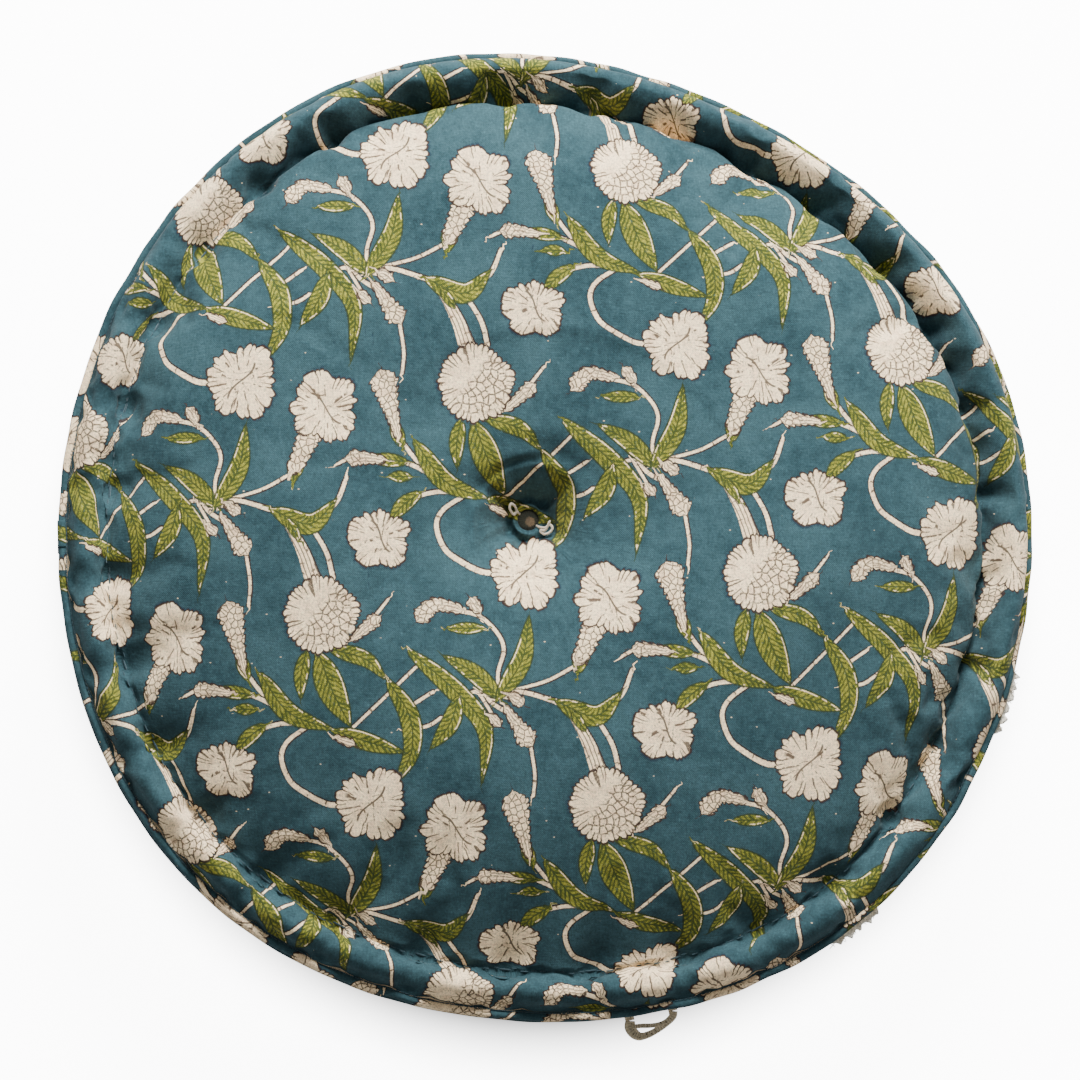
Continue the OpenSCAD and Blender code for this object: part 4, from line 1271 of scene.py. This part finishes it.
def make_button_cloth():
    """Near-black cloth, gathered over the button, with one paler spot near the middle. The near-black is
    painted shade of the tuft's hollow, and the gathers are painted lighter on their crests and darker in
    their folds.
    """
    mat, pen, shader = material("Button cloth", 0.92, Sheen_Weight=0.1)
    cloth = pen.node("ShaderNodeUVMap", uv_map="cloth").outputs[0]
    grain = pen.noise(cloth, 900.0, 2.0, 0.6)
    x, y, _ = pen.split(cloth)
    gathers = pen.math("SINE", pen.fma(pen.math("ARCTAN2", y, x), 21.0, pen.mul(grain, 4.0)))
    away = pen.vector("LENGTH", pen.vector("SUBTRACT", cloth, (0.0012, -0.001, 0.0)))
    spot = pen.fma(pen.sub(grain, 0.5), 0.0016, away)
    # Near-black, which is painted shade of the tuft's hollow, round a paler khaki spot.
    tone = pen.mix(pen.ramp(spot, 0.0022, 0.0034), (0.175, 0.120, 0.065), (0.016, 0.019, 0.010))
    # Painted light and shade: the colour is lighter on the gathers' crests and darker in their folds,
    # following the same sine as the bump.
    tone_with_painted_folds = pen.vector("SCALE", tone, scale=pen.fma(gathers, 0.25, 1.0))
    weave_finish(pen, shader, pen.mul(gathers, 0.6), 0.0003, Cloth=cloth, Color=tone_with_painted_folds, Pitch=0.0006)
    return mat


def make_metal():
    mat, pen, shader = material("Pressed steel", 0.38)
    place = pen.node("ShaderNodeTexCoord").outputs["Object"]
    brushed = pen.noise(pen.vector("MULTIPLY", place, (300.0, 3000.0, 300.0)), 1.0, 3.0, flat=False)
    surface(pen, shader, brushed, 0.00003,
           Base_Color=pen.mix(pen.step(brushed, 0.3, 0.8), (0.42, 0.40, 0.37), (0.66, 0.64, 0.60)),
           Metallic=pen.ramp(brushed, 0.0, 1.0, 0.95, 1.0), Roughness=pen.ramp(brushed, 0.2, 0.8, 0.28, 0.5))
    return mat


def make_felt(name, tone):
    mat, pen, shader = material(name, 0.95, Sheen_Weight=0.4)
    place = pen.node("ShaderNodeTexCoord").outputs["Object"]
    hair = pen.noise(place, 1400.0, 4.0, 0.75, flat=False)
    tuft = pen.noise(place, 120.0, 3.0, 0.6, flat=False)
    mottle = pen.step(pen.add(pen.mul(hair, 0.6), pen.mul(tuft, 0.4)), 0.3, 0.7)
    surface(pen, shader, pen.add(hair, pen.mul(tuft, 2.0)), 0.0006,
           Base_Color=pen.mix(mottle, darker(tone, 0.7), tone), Roughness=pen.ramp(hair, 0.2, 0.8, 0.88, 1.0))
    return mat


def make_tape(tints):
    """Ribbed tape: cream edges, khaki ribs and dark flecks. UV is along and across, in metres."""
    mat, pen, shader = material("Ribbed tape", 0.9, Sheen_Weight=0.2)
    cloth = pen.node("ShaderNodeUVMap", uv_map="cloth").outputs[0]
    along, across, _ = pen.split(cloth)
    ribs = pen.stripe(along, 0.0016, 0.00026, 0.0004)
    fleck = pen.noise(pen.join(pen.mul(along, 620.0), pen.mul(across, 420.0)), 1.0, 2.0)
    fine = pen.noise(cloth, 2200.0, 3.0, 0.7)
    edge = pen.ramp(pen.math("ABSOLUTE", across), 0.0011, 0.0017)
    ribbed = pen.mix(pen.math("MAXIMUM", pen.mul(ribs, 0.35), pen.step(fleck, 0.60, 0.68)),
                     tints.tape, (0.110, 0.080, 0.036))
    tone = pen.mix(edge, ribbed, pen.mix(pen.mul(ribs, 0.25), paler(tints.tape, 1.12), (0.50, 0.41, 0.26)))
    tone = pen.mix(pen.mul(pen.step(fine, 0.45, 0.75), 0.2), tone, darker(tints.tape, 0.7))
    surface(pen, shader, pen.fma(ribs, -1.0, pen.mul(fine, 0.4)), 0.0003, Base_Color=tone,
           Roughness=pen.ramp(fine, 0.2, 0.8, 0.8, 1.0))
    return mat


def finishes():
    """The finishes that more than one step uses, made once."""
    if "thread" not in CLOTHS:
        trim = bpy.context.scene.cushion_trim
        CLOTHS["thread"] = thread_material("Edge thread", (0.030, 0.075, 0.095), (0.010, 0.028, 0.036))
        CLOTHS["twine"] = thread_material("Tufting twine", trim.twine, darker(trim.twine, 0.55), 0.0009)
        CLOTHS["pale"] = thread_material("Pale thread", (0.90, 0.84, 0.70), (0.60, 0.52, 0.38))
        CLOTHS["cord"] = thread_material("Cotton cord", (0.74, 0.68, 0.57), (0.45, 0.39, 0.30), 0.0014)
        CLOTHS["wadding"] = make_felt("Cotton wadding", (0.80, 0.77, 0.70))
        CLOTHS["raw"] = make_felt("Raw cotton", (0.74, 0.69, 0.58))
        CLOTHS["felt"] = make_felt("Wool felt", (0.34, 0.31, 0.27))
        CLOTHS["button"] = make_button_cloth()
        CLOTHS["selvedge"] = make_plain_cloth("Selvedge cloth", (0.93, 0.88, 0.74), 0.0008)
        CLOTHS["tape"] = make_tape(trim)
        CLOTHS["metal"] = make_metal()
    return CLOTHS


def refinish(node, mat):
    """Gives a carried-over CAD node its finish."""
    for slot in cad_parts[node].material_slots:
        slot.material = mat


def laid_cord(t, a):
    """Section of a cord of three strands that wind round each other."""
    radius = 0.0013 * (1 + 0.06 * np.cos(3 * a + 900 * t))
    return radius * np.cos(a), radius * np.sin(a)


class CUSHION_OT_welts(bpy.types.Operator):
    """Make the two welts, their cords, their lapped joins and their stitching"""
    bl_idname = "cushion.welts"
    bl_label = "Welts"

    def execute(self, context):
        kit, trim = finishes(), context.scene.cushion_trim
        rng = np.random.default_rng(21)
        for name, node, z, sign in (("top_welt_strip", "top_welt", SEAM_Z["top"], 1),
                                    ("low_welt_strip", "bottom_welt", SEAM_Z["low"], -1)):
            wave = [(rng.integers(9, 70), rng.normal(0, 0.16), rng.uniform(0, 6)) for _ in range(9)]

            def ripple(angle):
                return sum(size * np.sin(k * angle + shift) for k, size, shift in wave)

            def path(r, height, start, sweep, count):
                angles = np.radians(start + np.linspace(0, sweep, count, endpoint=sweep < 359.9))
                radius = r + outline(angles) + 0.6 * ripple(angles)
                return at_angle(radius, np.degrees(angles), height + sign * ripple(angles + 0.7))[0]

            def section(grow):
                def shape(t, a):
                    """The strip over its cord; its inner side narrows to the turned-in seam."""
                    wide, tall = trim.welt_r * 1.04 + grow, trim.welt_r * 0.82 + grow
                    lip = 1 + 0.28 * np.clip(-np.cos(a), 0, 1) ** 3
                    thin = 1 - 0.25 * (lip - 1) / 0.28
                    return wide * np.cos(a) * lip + 0 * t, tall * np.sin(a) * thin + 0 * t
                return shape

            strip = printed(tube(name, path(WELT_RING_R, z, 184.0, 360.0, 720), section(0.0),
                                 mat=kit["printed"]))
            lap = printed(tube(name + "_lap", path(WELT_RING_R + 0.1, z, 178.2, 3.2, 14), section(0.00045),
                               closed=False, mat=kit["printed"]))
            own(strip, "cushion", "welt_cloth", node)
            own(lap, "cushion", "welt_cloth")
            cord = tube(name.replace("strip", "cord"), path(WELT_RING_R, z, 0.0, 360.0, 480), laid_cord,
                        mat=kit["cord"])
            own(cord, "cushion", "cotton_cord", node + "_cord")
            count = 640
            angles = (np.arange(count) + 0.5) * 360.0 / count
            radius = SEAM_R + outline(np.radians(angles)) + 0.6 * ripple(np.radians(angles))
            height = z + sign * (1.75 + ripple(np.radians(angles) + 0.7))
            places, out, around = at_angle(radius, angles, height)
            rows = lay_stitches(name.replace("strip", "seam_stitches"), places, around,
                                out * 0.5 + np.array([0, 0, sign]), kit["thread"],
                                Stitch_length=0.0021, Thread_radius=0.00028, Rise=0.00025)
            own(rows, "cushion", "stitching_thread")
        return {"FINISHED"}


class CUSHION_OT_edge_stitches(bpy.types.Operator):
    """Lay the stitches that hold both rolls, and close the filling opening"""
    bl_idname = "cushion.edge_stitches"
    bl_label = "Edge stitches"

    def execute(self, context):
        kit, trim = finishes(), context.scene.cushion_trim
        cover = kit["cover"]
        grid, m = cover.points, cover.marks
        normal = grid_normals(grid)
        cols = (np.arange(STITCHES) + 0.5) * grid.shape[1] / STITCHES - 0.5
        cols = np.round(cols).astype(int) % grid.shape[1]
        for name, node, rows in (("top_roll_stitching", "top_roll_stitches", ("groove", "pinch")),
                                 ("low_roll_stitching", "bottom_roll_stitches", ("low_groove", "low_pinch"))):
            places, along, up = [], [], []
            for row in rows:
                spot, out = grid[m[row], cols], normal[m[row], cols]
                angle = np.degrees(np.arctan2(spot[:, 1], spot[:, 0]))
                places.append(spot + out * 0.0003)
                along.append(at_angle(np.ones(len(cols)), angle, 0.0)[2])
                up.append(out)
            made = lay_stitches(name, np.concatenate(places), np.concatenate(along), np.concatenate(up),
                                kit["thread"], Stitch_length=0.009, Thread_radius=trim.thread_r, Rise=0.0006)
            own(made, "cushion", "stitching_thread", node)
        # The row that gathers the roll, sunk in the groove.
        spots = np.arange(0, grid.shape[1], 2)
        out = normal[m["groove"], spots]
        made = lay_stitches("groove_running_stitches", grid[m["groove"], spots] + out * 0.0002,
                            at_angle(np.ones(len(spots)), np.degrees(cover.theta[spots]), 0.0)[2], out,
                            kit["thread"],
                            Stitch_length=0.0042, Thread_radius=0.00032, Rise=0.0003)
        own(made, "cushion", "stitching_thread")
        angles = -54.0 + 2.0 * np.arange(20)
        radius = WELT_RING_R + outline(np.radians(angles)) - 0.2
        places, out, around = at_angle(radius, angles, 94.6)
        closing = lay_stitches("closing_stitching", places, out * 0.5 + around * 0.5 + [0, 0, 0.5], out,
                               kit["pale"], Stitch_length=0.0045, Thread_radius=0.0004, Rise=0.0004,
                               Unevenness=0.3)
        own(closing, "cushion", "stitching_thread", "closing_stitches")
        return {"FINISHED"}


class CUSHION_OT_tuft(bpy.types.Operator):
    """Make both covered buttons, and the curls of twine beside the upper one"""
    bl_idname = "cushion.tuft"
    bl_label = "Tuft"

    def execute(self, context):
        kit = finishes()
        for name, body, node, sign in (("upper_button", "top_button", "top_button_cover", 1),
                                       ("lower_button", "bottom_button", "bottom_button_cover", -1)):
            low, high = (np.array(corner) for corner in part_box(node))
            middle = (low + high) / 2
            radius, tall = (high[0] - low[0]) / 2, high[2] - low[2]
            profile = ((0.02, 1.0), (0.22, 0.985), (0.45, 0.92), (0.66, 0.80), (0.83, 0.62), (0.94, 0.42),
                       (0.995, 0.22), (0.985, 0.08), (0.93, 0.0), (0.8, 0.0))
            foot = low[2] if sign > 0 else high[2]
            theta = np.linspace(0, 2 * np.pi, 64, endpoint=False)
            rows = []
            rng = np.random.default_rng(5)
            folds = sum(rng.uniform(0.3, 1) * np.cos(k * theta + rng.uniform(0, 6))
                        for k in (9, 13, 17, 23)) / 4
            for share, height in profile:
                gather = folds * 0.00022 * smoothstep(1 - height, 0.35, 1.0)
                r = radius * share + gather
                rows.append(np.stack([middle[0] + r * np.cos(sign * theta),
                                      middle[1] + r * np.sin(sign * theta),
                                      np.full(len(theta), foot + sign * height * tall)], -1))
            grid = np.array(rows)
            cover = grid_mesh(name + "_cover", grid, grid[..., :2] - middle[:2], mat=kit["button"],
                              first_pole=np.array([middle[0], middle[1], foot + sign * tall]))
            own(cover, body, "button_cloth", node)
        for node in ("top_button_shell", "top_button_back", "bottom_button_shell", "bottom_button_back"):
            refinish(node, kit["metal"])
        for node in ("top_washer", "bottom_washer"):
            refinish(node, kit["felt"])
        for node in ("tuft_twine", "twine_knot"):
            refinish(node, kit["twine"])
        # Two curls of twine that stand out of the tuft.
        curls = (
            ((-4.6, 3.4, 98.6), (-6.8, 5.0, 103.4), (-8.3, 8.2, 106.9), (-10.6, 9.6, 108.6),
             (-11.6, 7.2, 108.2), (-10.4, 4.6, 106.2), (-8.6, 3.2, 104.4), (-7.4, 5.2, 104.8)),
            ((4.6, -3.2, 98.6), (7.0, -4.6, 103.6), (10.2, -5.0, 106.6), (13.2, -3.4, 108.8),
             (14.6, -5.6, 109.2), (12.4, -8.4, 108.0), (9.2, -8.8, 106.4), (7.4, -6.6, 105.2),
             (10.4, -6.4, 107.4), (13.2, -0.6, 109.8)),
        )
        strands = [(smooth_line(curl, 14) + [*TUFT, 0.0]) * MM for curl in curls]
        curl = twist("twine_curls", strands, 0.00078, 0.0038, kit["twine"])
        own(curl, "cushion", "tufting_twine", "tuft_tails")
        return {"FINISHED"}


def twist(name, lines, radius, pitch, mat, plies=3):
    """A few plies wound round each line, as one piece."""
    made = bmesh.new()
    for line in lines:
        run, side, up = frames_on(line, False)
        gone = lengths_along(line)
        share = np.clip(np.minimum(gone, gone[-1] - gone) / (radius * 2) + 0.35, 0, 1)
        for ply in range(plies):
            turn = 2 * np.pi * (gone / pitch + ply / plies)
            around = side * np.cos(turn)[:, None] + up * np.sin(turn)[:, None]
            core = line + around * radius * 0.52 * share[:, None]
            loops = []
            for p, s, u, grow in zip(core, side, up, share):
                loops.append([made.verts.new(p + (s * math.cos(a) + u * math.sin(a)) * radius * 0.56 * grow)
                              for a in np.linspace(0, 2 * math.pi, 6, endpoint=False)])
            for one, two in zip(loops, loops[1:]):
                for k in range(6):
                    made.faces.new((one[k], one[(k + 1) % 6], two[(k + 1) % 6], two[k]))
            made.faces.new(loops[0][::-1])
            made.faces.new(loops[-1])
    bmesh.ops.recalc_face_normals(made, faces=made.faces)
    mesh = bpy.data.meshes.new(name)
    made.to_mesh(mesh)
    made.free()
    mesh.shade_smooth()
    return add_piece(name, mesh, mat)


def ribbon(name, line, widths, thick, z_tilt, mat):
    """A flat ribbed tape along a line; z_tilt leans its width out of the level, in radians."""
    line = np.asarray(line, float)
    run, side, up = frames_on(line, False)
    gone = lengths_along(line)
    lean = np.interp(np.linspace(0, 1, len(line)), np.linspace(0, 1, len(z_tilt)), z_tilt)
    wide = np.interp(np.linspace(0, 1, len(line)), np.linspace(0, 1, len(widths)), widths)
    across = side * np.cos(lean)[:, None] + up * np.sin(lean)[:, None]
    over = np.cross(across, run)
    half = ((-0.5, 0.0), (-0.46, 0.36), (-0.36, 0.5), (-0.16, 0.42), (0.0, 0.4), (0.16, 0.42), (0.36, 0.5),
            (0.46, 0.36))
    shape = (*half, *((-a, -b) for a, b in half))
    rib = 1 + 0.10 * np.cos(2 * np.pi * gone / 0.0016)
    rows, uvs = [], []
    for a, b in (*shape, shape[0]):
        rows.append(line + across * (a * wide)[:, None] + over * (b * thick * rib)[:, None])
        uvs.append(np.stack([gone, a * wide], -1))
    return capped(name, line, np.array(rows), np.array(uvs), mat)


def join_pieces(name, pieces):
    """Makes one piece of several, keeping their UV maps and finishes."""
    with bpy.context.temp_override(active_object=pieces[0], selected_editable_objects=pieces,
                                   selected_objects=pieces):
        bpy.ops.object.join()
    pieces[0].name = pieces[0].data.name = name
    return pieces[0]


class CUSHION_OT_loop(bpy.types.Operator):
    """Make the ribbed hanging loop and its sewn-in ends"""
    bl_idname = "cushion.loop"
    bl_label = "Hanging loop"

    def execute(self, context):
        kit = finishes()
        angle = math.radians(LOOP_ANGLE)
        out = np.array([math.cos(angle), math.sin(angle), 0.0])
        around = np.array([-math.sin(angle), math.cos(angle), 0.0])

        def place(points, steps=9):
            line = smooth_line([(t, r, z) for t, r, z in points], steps)
            return (line[:, :1] * around + line[:, 1:2] * out + line[:, 2:] * [0, 0, 1]) * MM

        outer = ribbon("loop_outer", place([(-14.0, 301.0, 11.4), (-14.8, 304.6, 11.8), (-13.6, 308.6, 12.3),
                                            (-10.2, 311.6, 12.0), (-4.6, 311.6, 11.4), (1.5, 309.9, 11.6),
                                            (7.5, 307.2, 12.0), (12.2, 304.2, 11.8), (13.4, 301.0, 11.4)]),
                       (0.0060, 0.0074, 0.0070, 0.0046, 0.0040, 0.0044, 0.0048, 0.0056), 0.0019,
                       (0.0, 0.15, 0.35, 0.2, -0.1, -0.25, -0.1, 0.0), kit["tape"])
        inner = ribbon("loop_inner", place([(-12.6, 304.8, 12.9), (-8.0, 305.4, 13.2), (-2.0, 306.6, 13.0),
                                            (4.0, 306.8, 12.9), (9.0, 305.4, 12.8)]),
                       (0.0026, 0.0030, 0.0027, 0.0024), 0.0016, (0.3, 0.1, -0.2), kit["tape"])
        loop = join_pieces("tape_loop", [outer, inner])
        own(loop, "loop", "woven_tape", "hang_loop")
        ends = [ribbon(f"tape_end_{k}", place([(t, r, 11.4) for r in (289.5, 293, 297, 300.7)], 5),
                       (0.0060, 0.0058), 0.0018, (0.0, 0.0), kit["tape"]) for k, t in enumerate(LOOP_FEET)]
        both = join_pieces("tape_ends", ends)
        own(both, "cushion", "woven_tape", "loop_ends")
        spots = np.array([t + k * 0.9 for t in LOOP_FEET for k in (-2.2, -1.1, 0, 1.1, 2.2)])
        places = (spots[:, None] * around + 299.2 * out + [[0, 0, 10.3]]) * MM
        tacks = lay_stitches("tape_bar_tacks", places, out, (0, 0, -1.0), kit["thread"],
                             Stitch_length=0.0016, Thread_radius=0.0003, Rise=0.0002)
        own(tacks, "cushion", "stitching_thread", "loop_bar_tacks")
        return {"FINISHED"}


class CUSHION_OT_selvedge(bpy.types.Operator):
    """Make the frayed strip of selvedge that shows at the hand-closed seam"""
    bl_idname = "cushion.selvedge"
    bl_label = "Selvedge"

    def execute(self, context):
        kit = finishes()
        rng = np.random.default_rng(12)
        first, last = OPENING
        angles = np.linspace(first, last, 300)
        along = np.radians(angles - first) * WELT_RING_R
        bare = np.maximum(smoothstep(angles, first, first + 1) * (1 - smoothstep(angles, -49.0, -47.6)),
                          smoothstep(angles, -24.4, -23.0) * (1 - smoothstep(angles, last - 1, last)))
        torn = sum(rng.normal(0, 0.7) * np.sin(along * k + rng.uniform(0, 6))
                   for k in (0.21, 0.43, 0.9, 1.7, 3.1))
        reach = 0.8 + bare * (4.9 + 0.9 * torn) + 0.15 * torn
        base = WELT_RING_R + outline(np.radians(angles)) - 3.0
        rows = []
        for share, rise in ((0.0, 0.15), (0.45, 0.3), (0.75, 0.28), (1.0, 0.05), (1.0, -0.15), (0.7, -0.2),
                            (0.35, -0.2), (0.0, -0.15), (0.0, 0.15)):
            flutter = 0.5 * np.sin(along * 0.55) * share + 0.25 * np.sin(along * 1.6 + 1) * share
            r = base + share * (3.0 + np.maximum(reach, 0.2))
            rows.append(at_angle(r, angles, 94.1 - 0.4 * share + rise + flutter * bare)[0])
        grid = np.array(rows)
        strip = weld(grid_mesh("selvedge_cloth", grid, grid[..., :2], wrap=False, mat=kit["selvedge"]))
        own(strip, "cushion", "raw_cotton", "selvedge_strip")
        spots = np.concatenate([rng.uniform(-55.2, -48.4, 46), rng.uniform(-23.6, -15.8, 52)])
        radius = WELT_RING_R + outline(np.radians(spots)) + rng.uniform(1.5, 5.0, len(spots))
        places, out, around = at_angle(radius, spots, 93.9 + rng.normal(0, 0.3, len(spots)))
        way = out * rng.uniform(0.2, 1, (len(spots), 1)) + around * rng.normal(0, 0.8, (len(spots), 1))
        way[:, 2] = rng.normal(-0.1, 0.25, len(spots))
        fringe = lay_stitches("selvedge_threads", places, way, (0, 0, 1.0), kit["pale"],
                              Stitch_length=0.0036, Thread_radius=0.00022, Rise=0.0006, Unevenness=0.5)
        own(fringe, "cushion", "raw_cotton")
        return {"FINISHED"}


class CUSHION_OT_filling(bpy.types.Operator):
    """Make the filling's layers, the wadding in the rolls and the plies behind the boxing's seams"""
    bl_idname = "cushion.filling"
    bl_label = "Filling"

    def execute(self, context):
        kit = finishes()
        cover = kit["cover"]
        rng = np.random.default_rng(3)
        theta = np.linspace(0, 2 * np.pi, 96, endpoint=False)

        def layer(name, node, low, high, edge, hole=5.0):
            """A lumpy layer with a hole for the twine; low and high give its faces at (x, y), in mm."""
            share = np.array([0, 0.06, 0.14, 0.25, 0.38, 0.52, 0.66, 0.79, 0.90, 0.97])
            q = hole + (edge - hole) * share
            rows = []

            def ring(radius, blend):
                x, y = place_rings(np.array([radius]), theta)
                grow = 1 + outline(theta) / 300.0 * smoothstep(radius, 60, 290)
                x, y = x[0] * grow, y[0] * grow
                floor, roof = low(x, y), high(x, y)
                z = floor + (roof - floor) * blend
                if blend in (0.0, 1.0):
                    z = z + sum(tall * np.sin(x * kx + y * ky + shift) for tall, kx, ky, shift in lumps)
                rows.append(np.stack([x, y, z], -1))

            lumps = [(rng.normal(0, 0.25), rng.normal(0, 0.07), rng.normal(0, 0.07), rng.uniform(0, 6))
                     for _ in range(6)]
            for radius in q:
                ring(radius, 1.0)
            for blend, out in ((0.86, edge * 0.993), (0.62, edge), (0.38, edge), (0.14, edge * 0.993)):
                ring(out, blend)
            for radius in q[::-1]:
                ring(radius, 0.0)
            rows.append(rows[0].copy())
            piece = weld(grid_mesh(name, np.array(rows) * MM, mat=kit["raw"]))
            own(piece, "cushion", "cotton_wadding", node)

        def flat(z):
            return lambda x, y: np.full(np.shape(x), float(z))

        def well(x, y):
            away = np.hypot(x - TUFT[0], y - TUFT[1])
            return 6.0 + 20.0 * (1 - smoothstep(away / 62.0))

        def crown(x, y):
            r, away = np.hypot(x, y), np.hypot(x - TUFT[0], y - TUFT[1])
            roof = 130.0 - 3.2 * (r / 150.0) ** 2.1 - 41.0 * np.exp(-(away - 8) / 34.0)
            return np.minimum(roof, 128.5)

        layer("base_layer", "base_batt", well, flat(33.5), 252.0)
        layer("middle_layer", "middle_batt", flat(34.5), flat(60.5), 262.0)
        layer("upper_layer", "upper_batt", flat(61.5), flat(85.0), 262.0)
        layer("crown_layer", "crown_pad", flat(86.0), lambda x, y: np.maximum(crown(x, y), 88.0), 196.0)
        m = cover.marks
        for name, node, rings in (
                ("top_roll_filling", "top_roll_wadding", slice(m["groove"] + 4, m["seam"] + 1, 2)),
                ("low_roll_filling", "bottom_roll_wadding", slice(m["low_seam"], m["low_groove"] - 3, 2))):
            skin = cover.points[rings, ::2]
            core = skin.mean(0) + (skin - skin.mean(0)) * 0.45
            roll = weld(grid_mesh(name, np.concatenate([core, core[:1]]), mat=kit["wadding"]))
            own(roll, "cushion", "cotton_wadding", node)
        plies = []
        for k, angle in enumerate((0.0, 180.0)):
            heights = np.linspace(34, 78, 12)
            reach = np.interp(heights, (34, 45, 56, 67, 78), (276.5, 281.5, 283.2, 281.5, 276.5))
            across = np.linspace(-12, 12, 9) / 283 * 180 / np.pi + angle
            waved = reach + 0.25 * np.sin(heights)
            front, rear = (np.array([at_angle(waved - inset, np.full(len(heights), a), heights)[0]
                                     for a in across]) for inset in (0.0, 1.2))
            grid = np.concatenate([front, rear[::-1], front[:1]])
            grid = np.concatenate([grid[:, :1], grid, grid[:, -1:]], 1)
            uv = np.stack(np.broadcast_arrays(np.arange(len(grid))[:, None] * 0.003,
                                              np.arange(grid.shape[1])[None] * 0.004), -1)
            plies.append(weld(grid_mesh(f"ply_{k}", grid, uv, wrap=False, mat=kit["printed"])))
        both = printed(join_pieces("boxing_plies", plies))
        own(both, "cushion", "printed_cloth", "boxing_seam_plies")
        return {"FINISHED"}


class CUSHION_OT_stage(bpy.types.Operator):
    """Set the floor, the soft light and the camera"""
    bl_idname = "cushion.stage"
    bl_label = "Stage"

    def execute(self, context):
        settings = context.scene.cushion_stage
        mesh = bpy.data.meshes.new("floor")
        w = 6.0
        mesh.from_pydata([(-w, -w, 0), (w, -w, 0), (w, w, 0), (-w, w, 0)], [], [(0, 1, 2, 3)])
        plain = (*settings.floor, 1.0)
        mat, pen, shader = material("Studio floor", 0.9, Base_Color=plain, Specular_IOR_Level=0.1,
                                    Emission_Color=plain)
        # The floor glows only to the camera, so it lights nothing, and reads as an overexposed sheet. Its
        # glow fades out close round the cushion, about a centre set 25 mm towards -y, which paints a soft
        # shadow round the cushion, deepest along its -y edge.
        here = pen.node("ShaderNodeTexCoord").outputs["Object"]
        away = pen.vector("LENGTH", pen.vector("ADD", here, (0.0, 0.025, 0.0)))
        seen = pen.node("ShaderNodeLightPath").outputs["Is Camera Ray"]
        # Painted shadow: the glow is cut away within 262 to 318 mm of that centre, darkening the floor round
        # the cushion.
        glow_outside_painted_shadow = pen.mul(seen, pen.mul(pen.step(away, 0.262, 0.318), settings.glow_outside_painted_shadow))
        pen.put(shader.inputs["Emission Strength"], glow_outside_painted_shadow)
        floor = add_piece("studio_floor", mesh, mat)
        world = bpy.data.worlds.new("studio")
        world.use_nodes = True
        back = world.node_tree.nodes["Background"]
        back.inputs[0].default_value = (1, 1, 1, 1)
        back.inputs[1].default_value = settings.fill
        context.scene.world = world

        light = bpy.data.lights.new("window", "AREA")
        light.shape, light.size, light.energy = "DISK", 1.2, settings.key
        aim_at("window", light, (0.3, 2.15, 1.5), (0, 0, 0.1), (0, 0, 1))
        lens = bpy.data.cameras.new("camera")
        lens.lens, lens.sensor_width, lens.clip_end = settings.lens, 36.0, 20.0
        context.scene.camera = aim_at("camera", lens, (-0.25, -0.34, settings.distance),
                                      (-0.0046, -0.0021, 0.097), (0, 1, 0))
        return {"FINISHED"}


def aim_at(name, data, place, target, up):
    """A lamp or camera at place that looks at target, with up as its upper side."""
    made = bpy.data.objects.new(name, data)
    bpy.context.scene.collection.objects.link(made)
    back = Vector(np.array(place) - np.array(target)).normalized()
    right = Vector(up).cross(back).normalized()
    made.location = place
    made.rotation_euler = Matrix((right, back.cross(right), back)).transposed().to_euler()
    return made


class CUSHION_PT_panel(bpy.types.Panel):
    """Lists the cushion's steps"""
    bl_label = "Floor Cushion"
    bl_space_type = "VIEW_3D"
    bl_region_type = "UI"
    bl_category = "Cushion"

    def draw(self, context):
        for step in STEPS:
            self.layout.operator(step.bl_idname)


GROUPS = {"cushion_casing": CushionCasing, "cushion_print": CushionPrint,
          "cushion_trim": CushionTrim, "cushion_stage": CushionStage}
STEPS = (CUSHION_OT_casing, CUSHION_OT_welts, CUSHION_OT_edge_stitches, CUSHION_OT_tuft, CUSHION_OT_loop,
         CUSHION_OT_selvedge, CUSHION_OT_filling, CUSHION_OT_stage)


def register():
    for cls in (*GROUPS.values(), *STEPS, CUSHION_PT_panel):
        bpy.utils.register_class(cls)
    for name, cls in GROUPS.items():
        setattr(bpy.types.Scene, name, bpy.props.PointerProperty(type=cls))


def unregister():
    for name in GROUPS:
        delattr(bpy.types.Scene, name)
    for cls in reversed((*GROUPS.values(), *STEPS, CUSHION_PT_panel)):
        bpy.utils.unregister_class(cls)


def main():
    register()
    for step in STEPS:
        family, action = step.bl_idname.split(".")
        getattr(getattr(bpy.ops, family), action)()


if __name__ == "__main__":
    main()
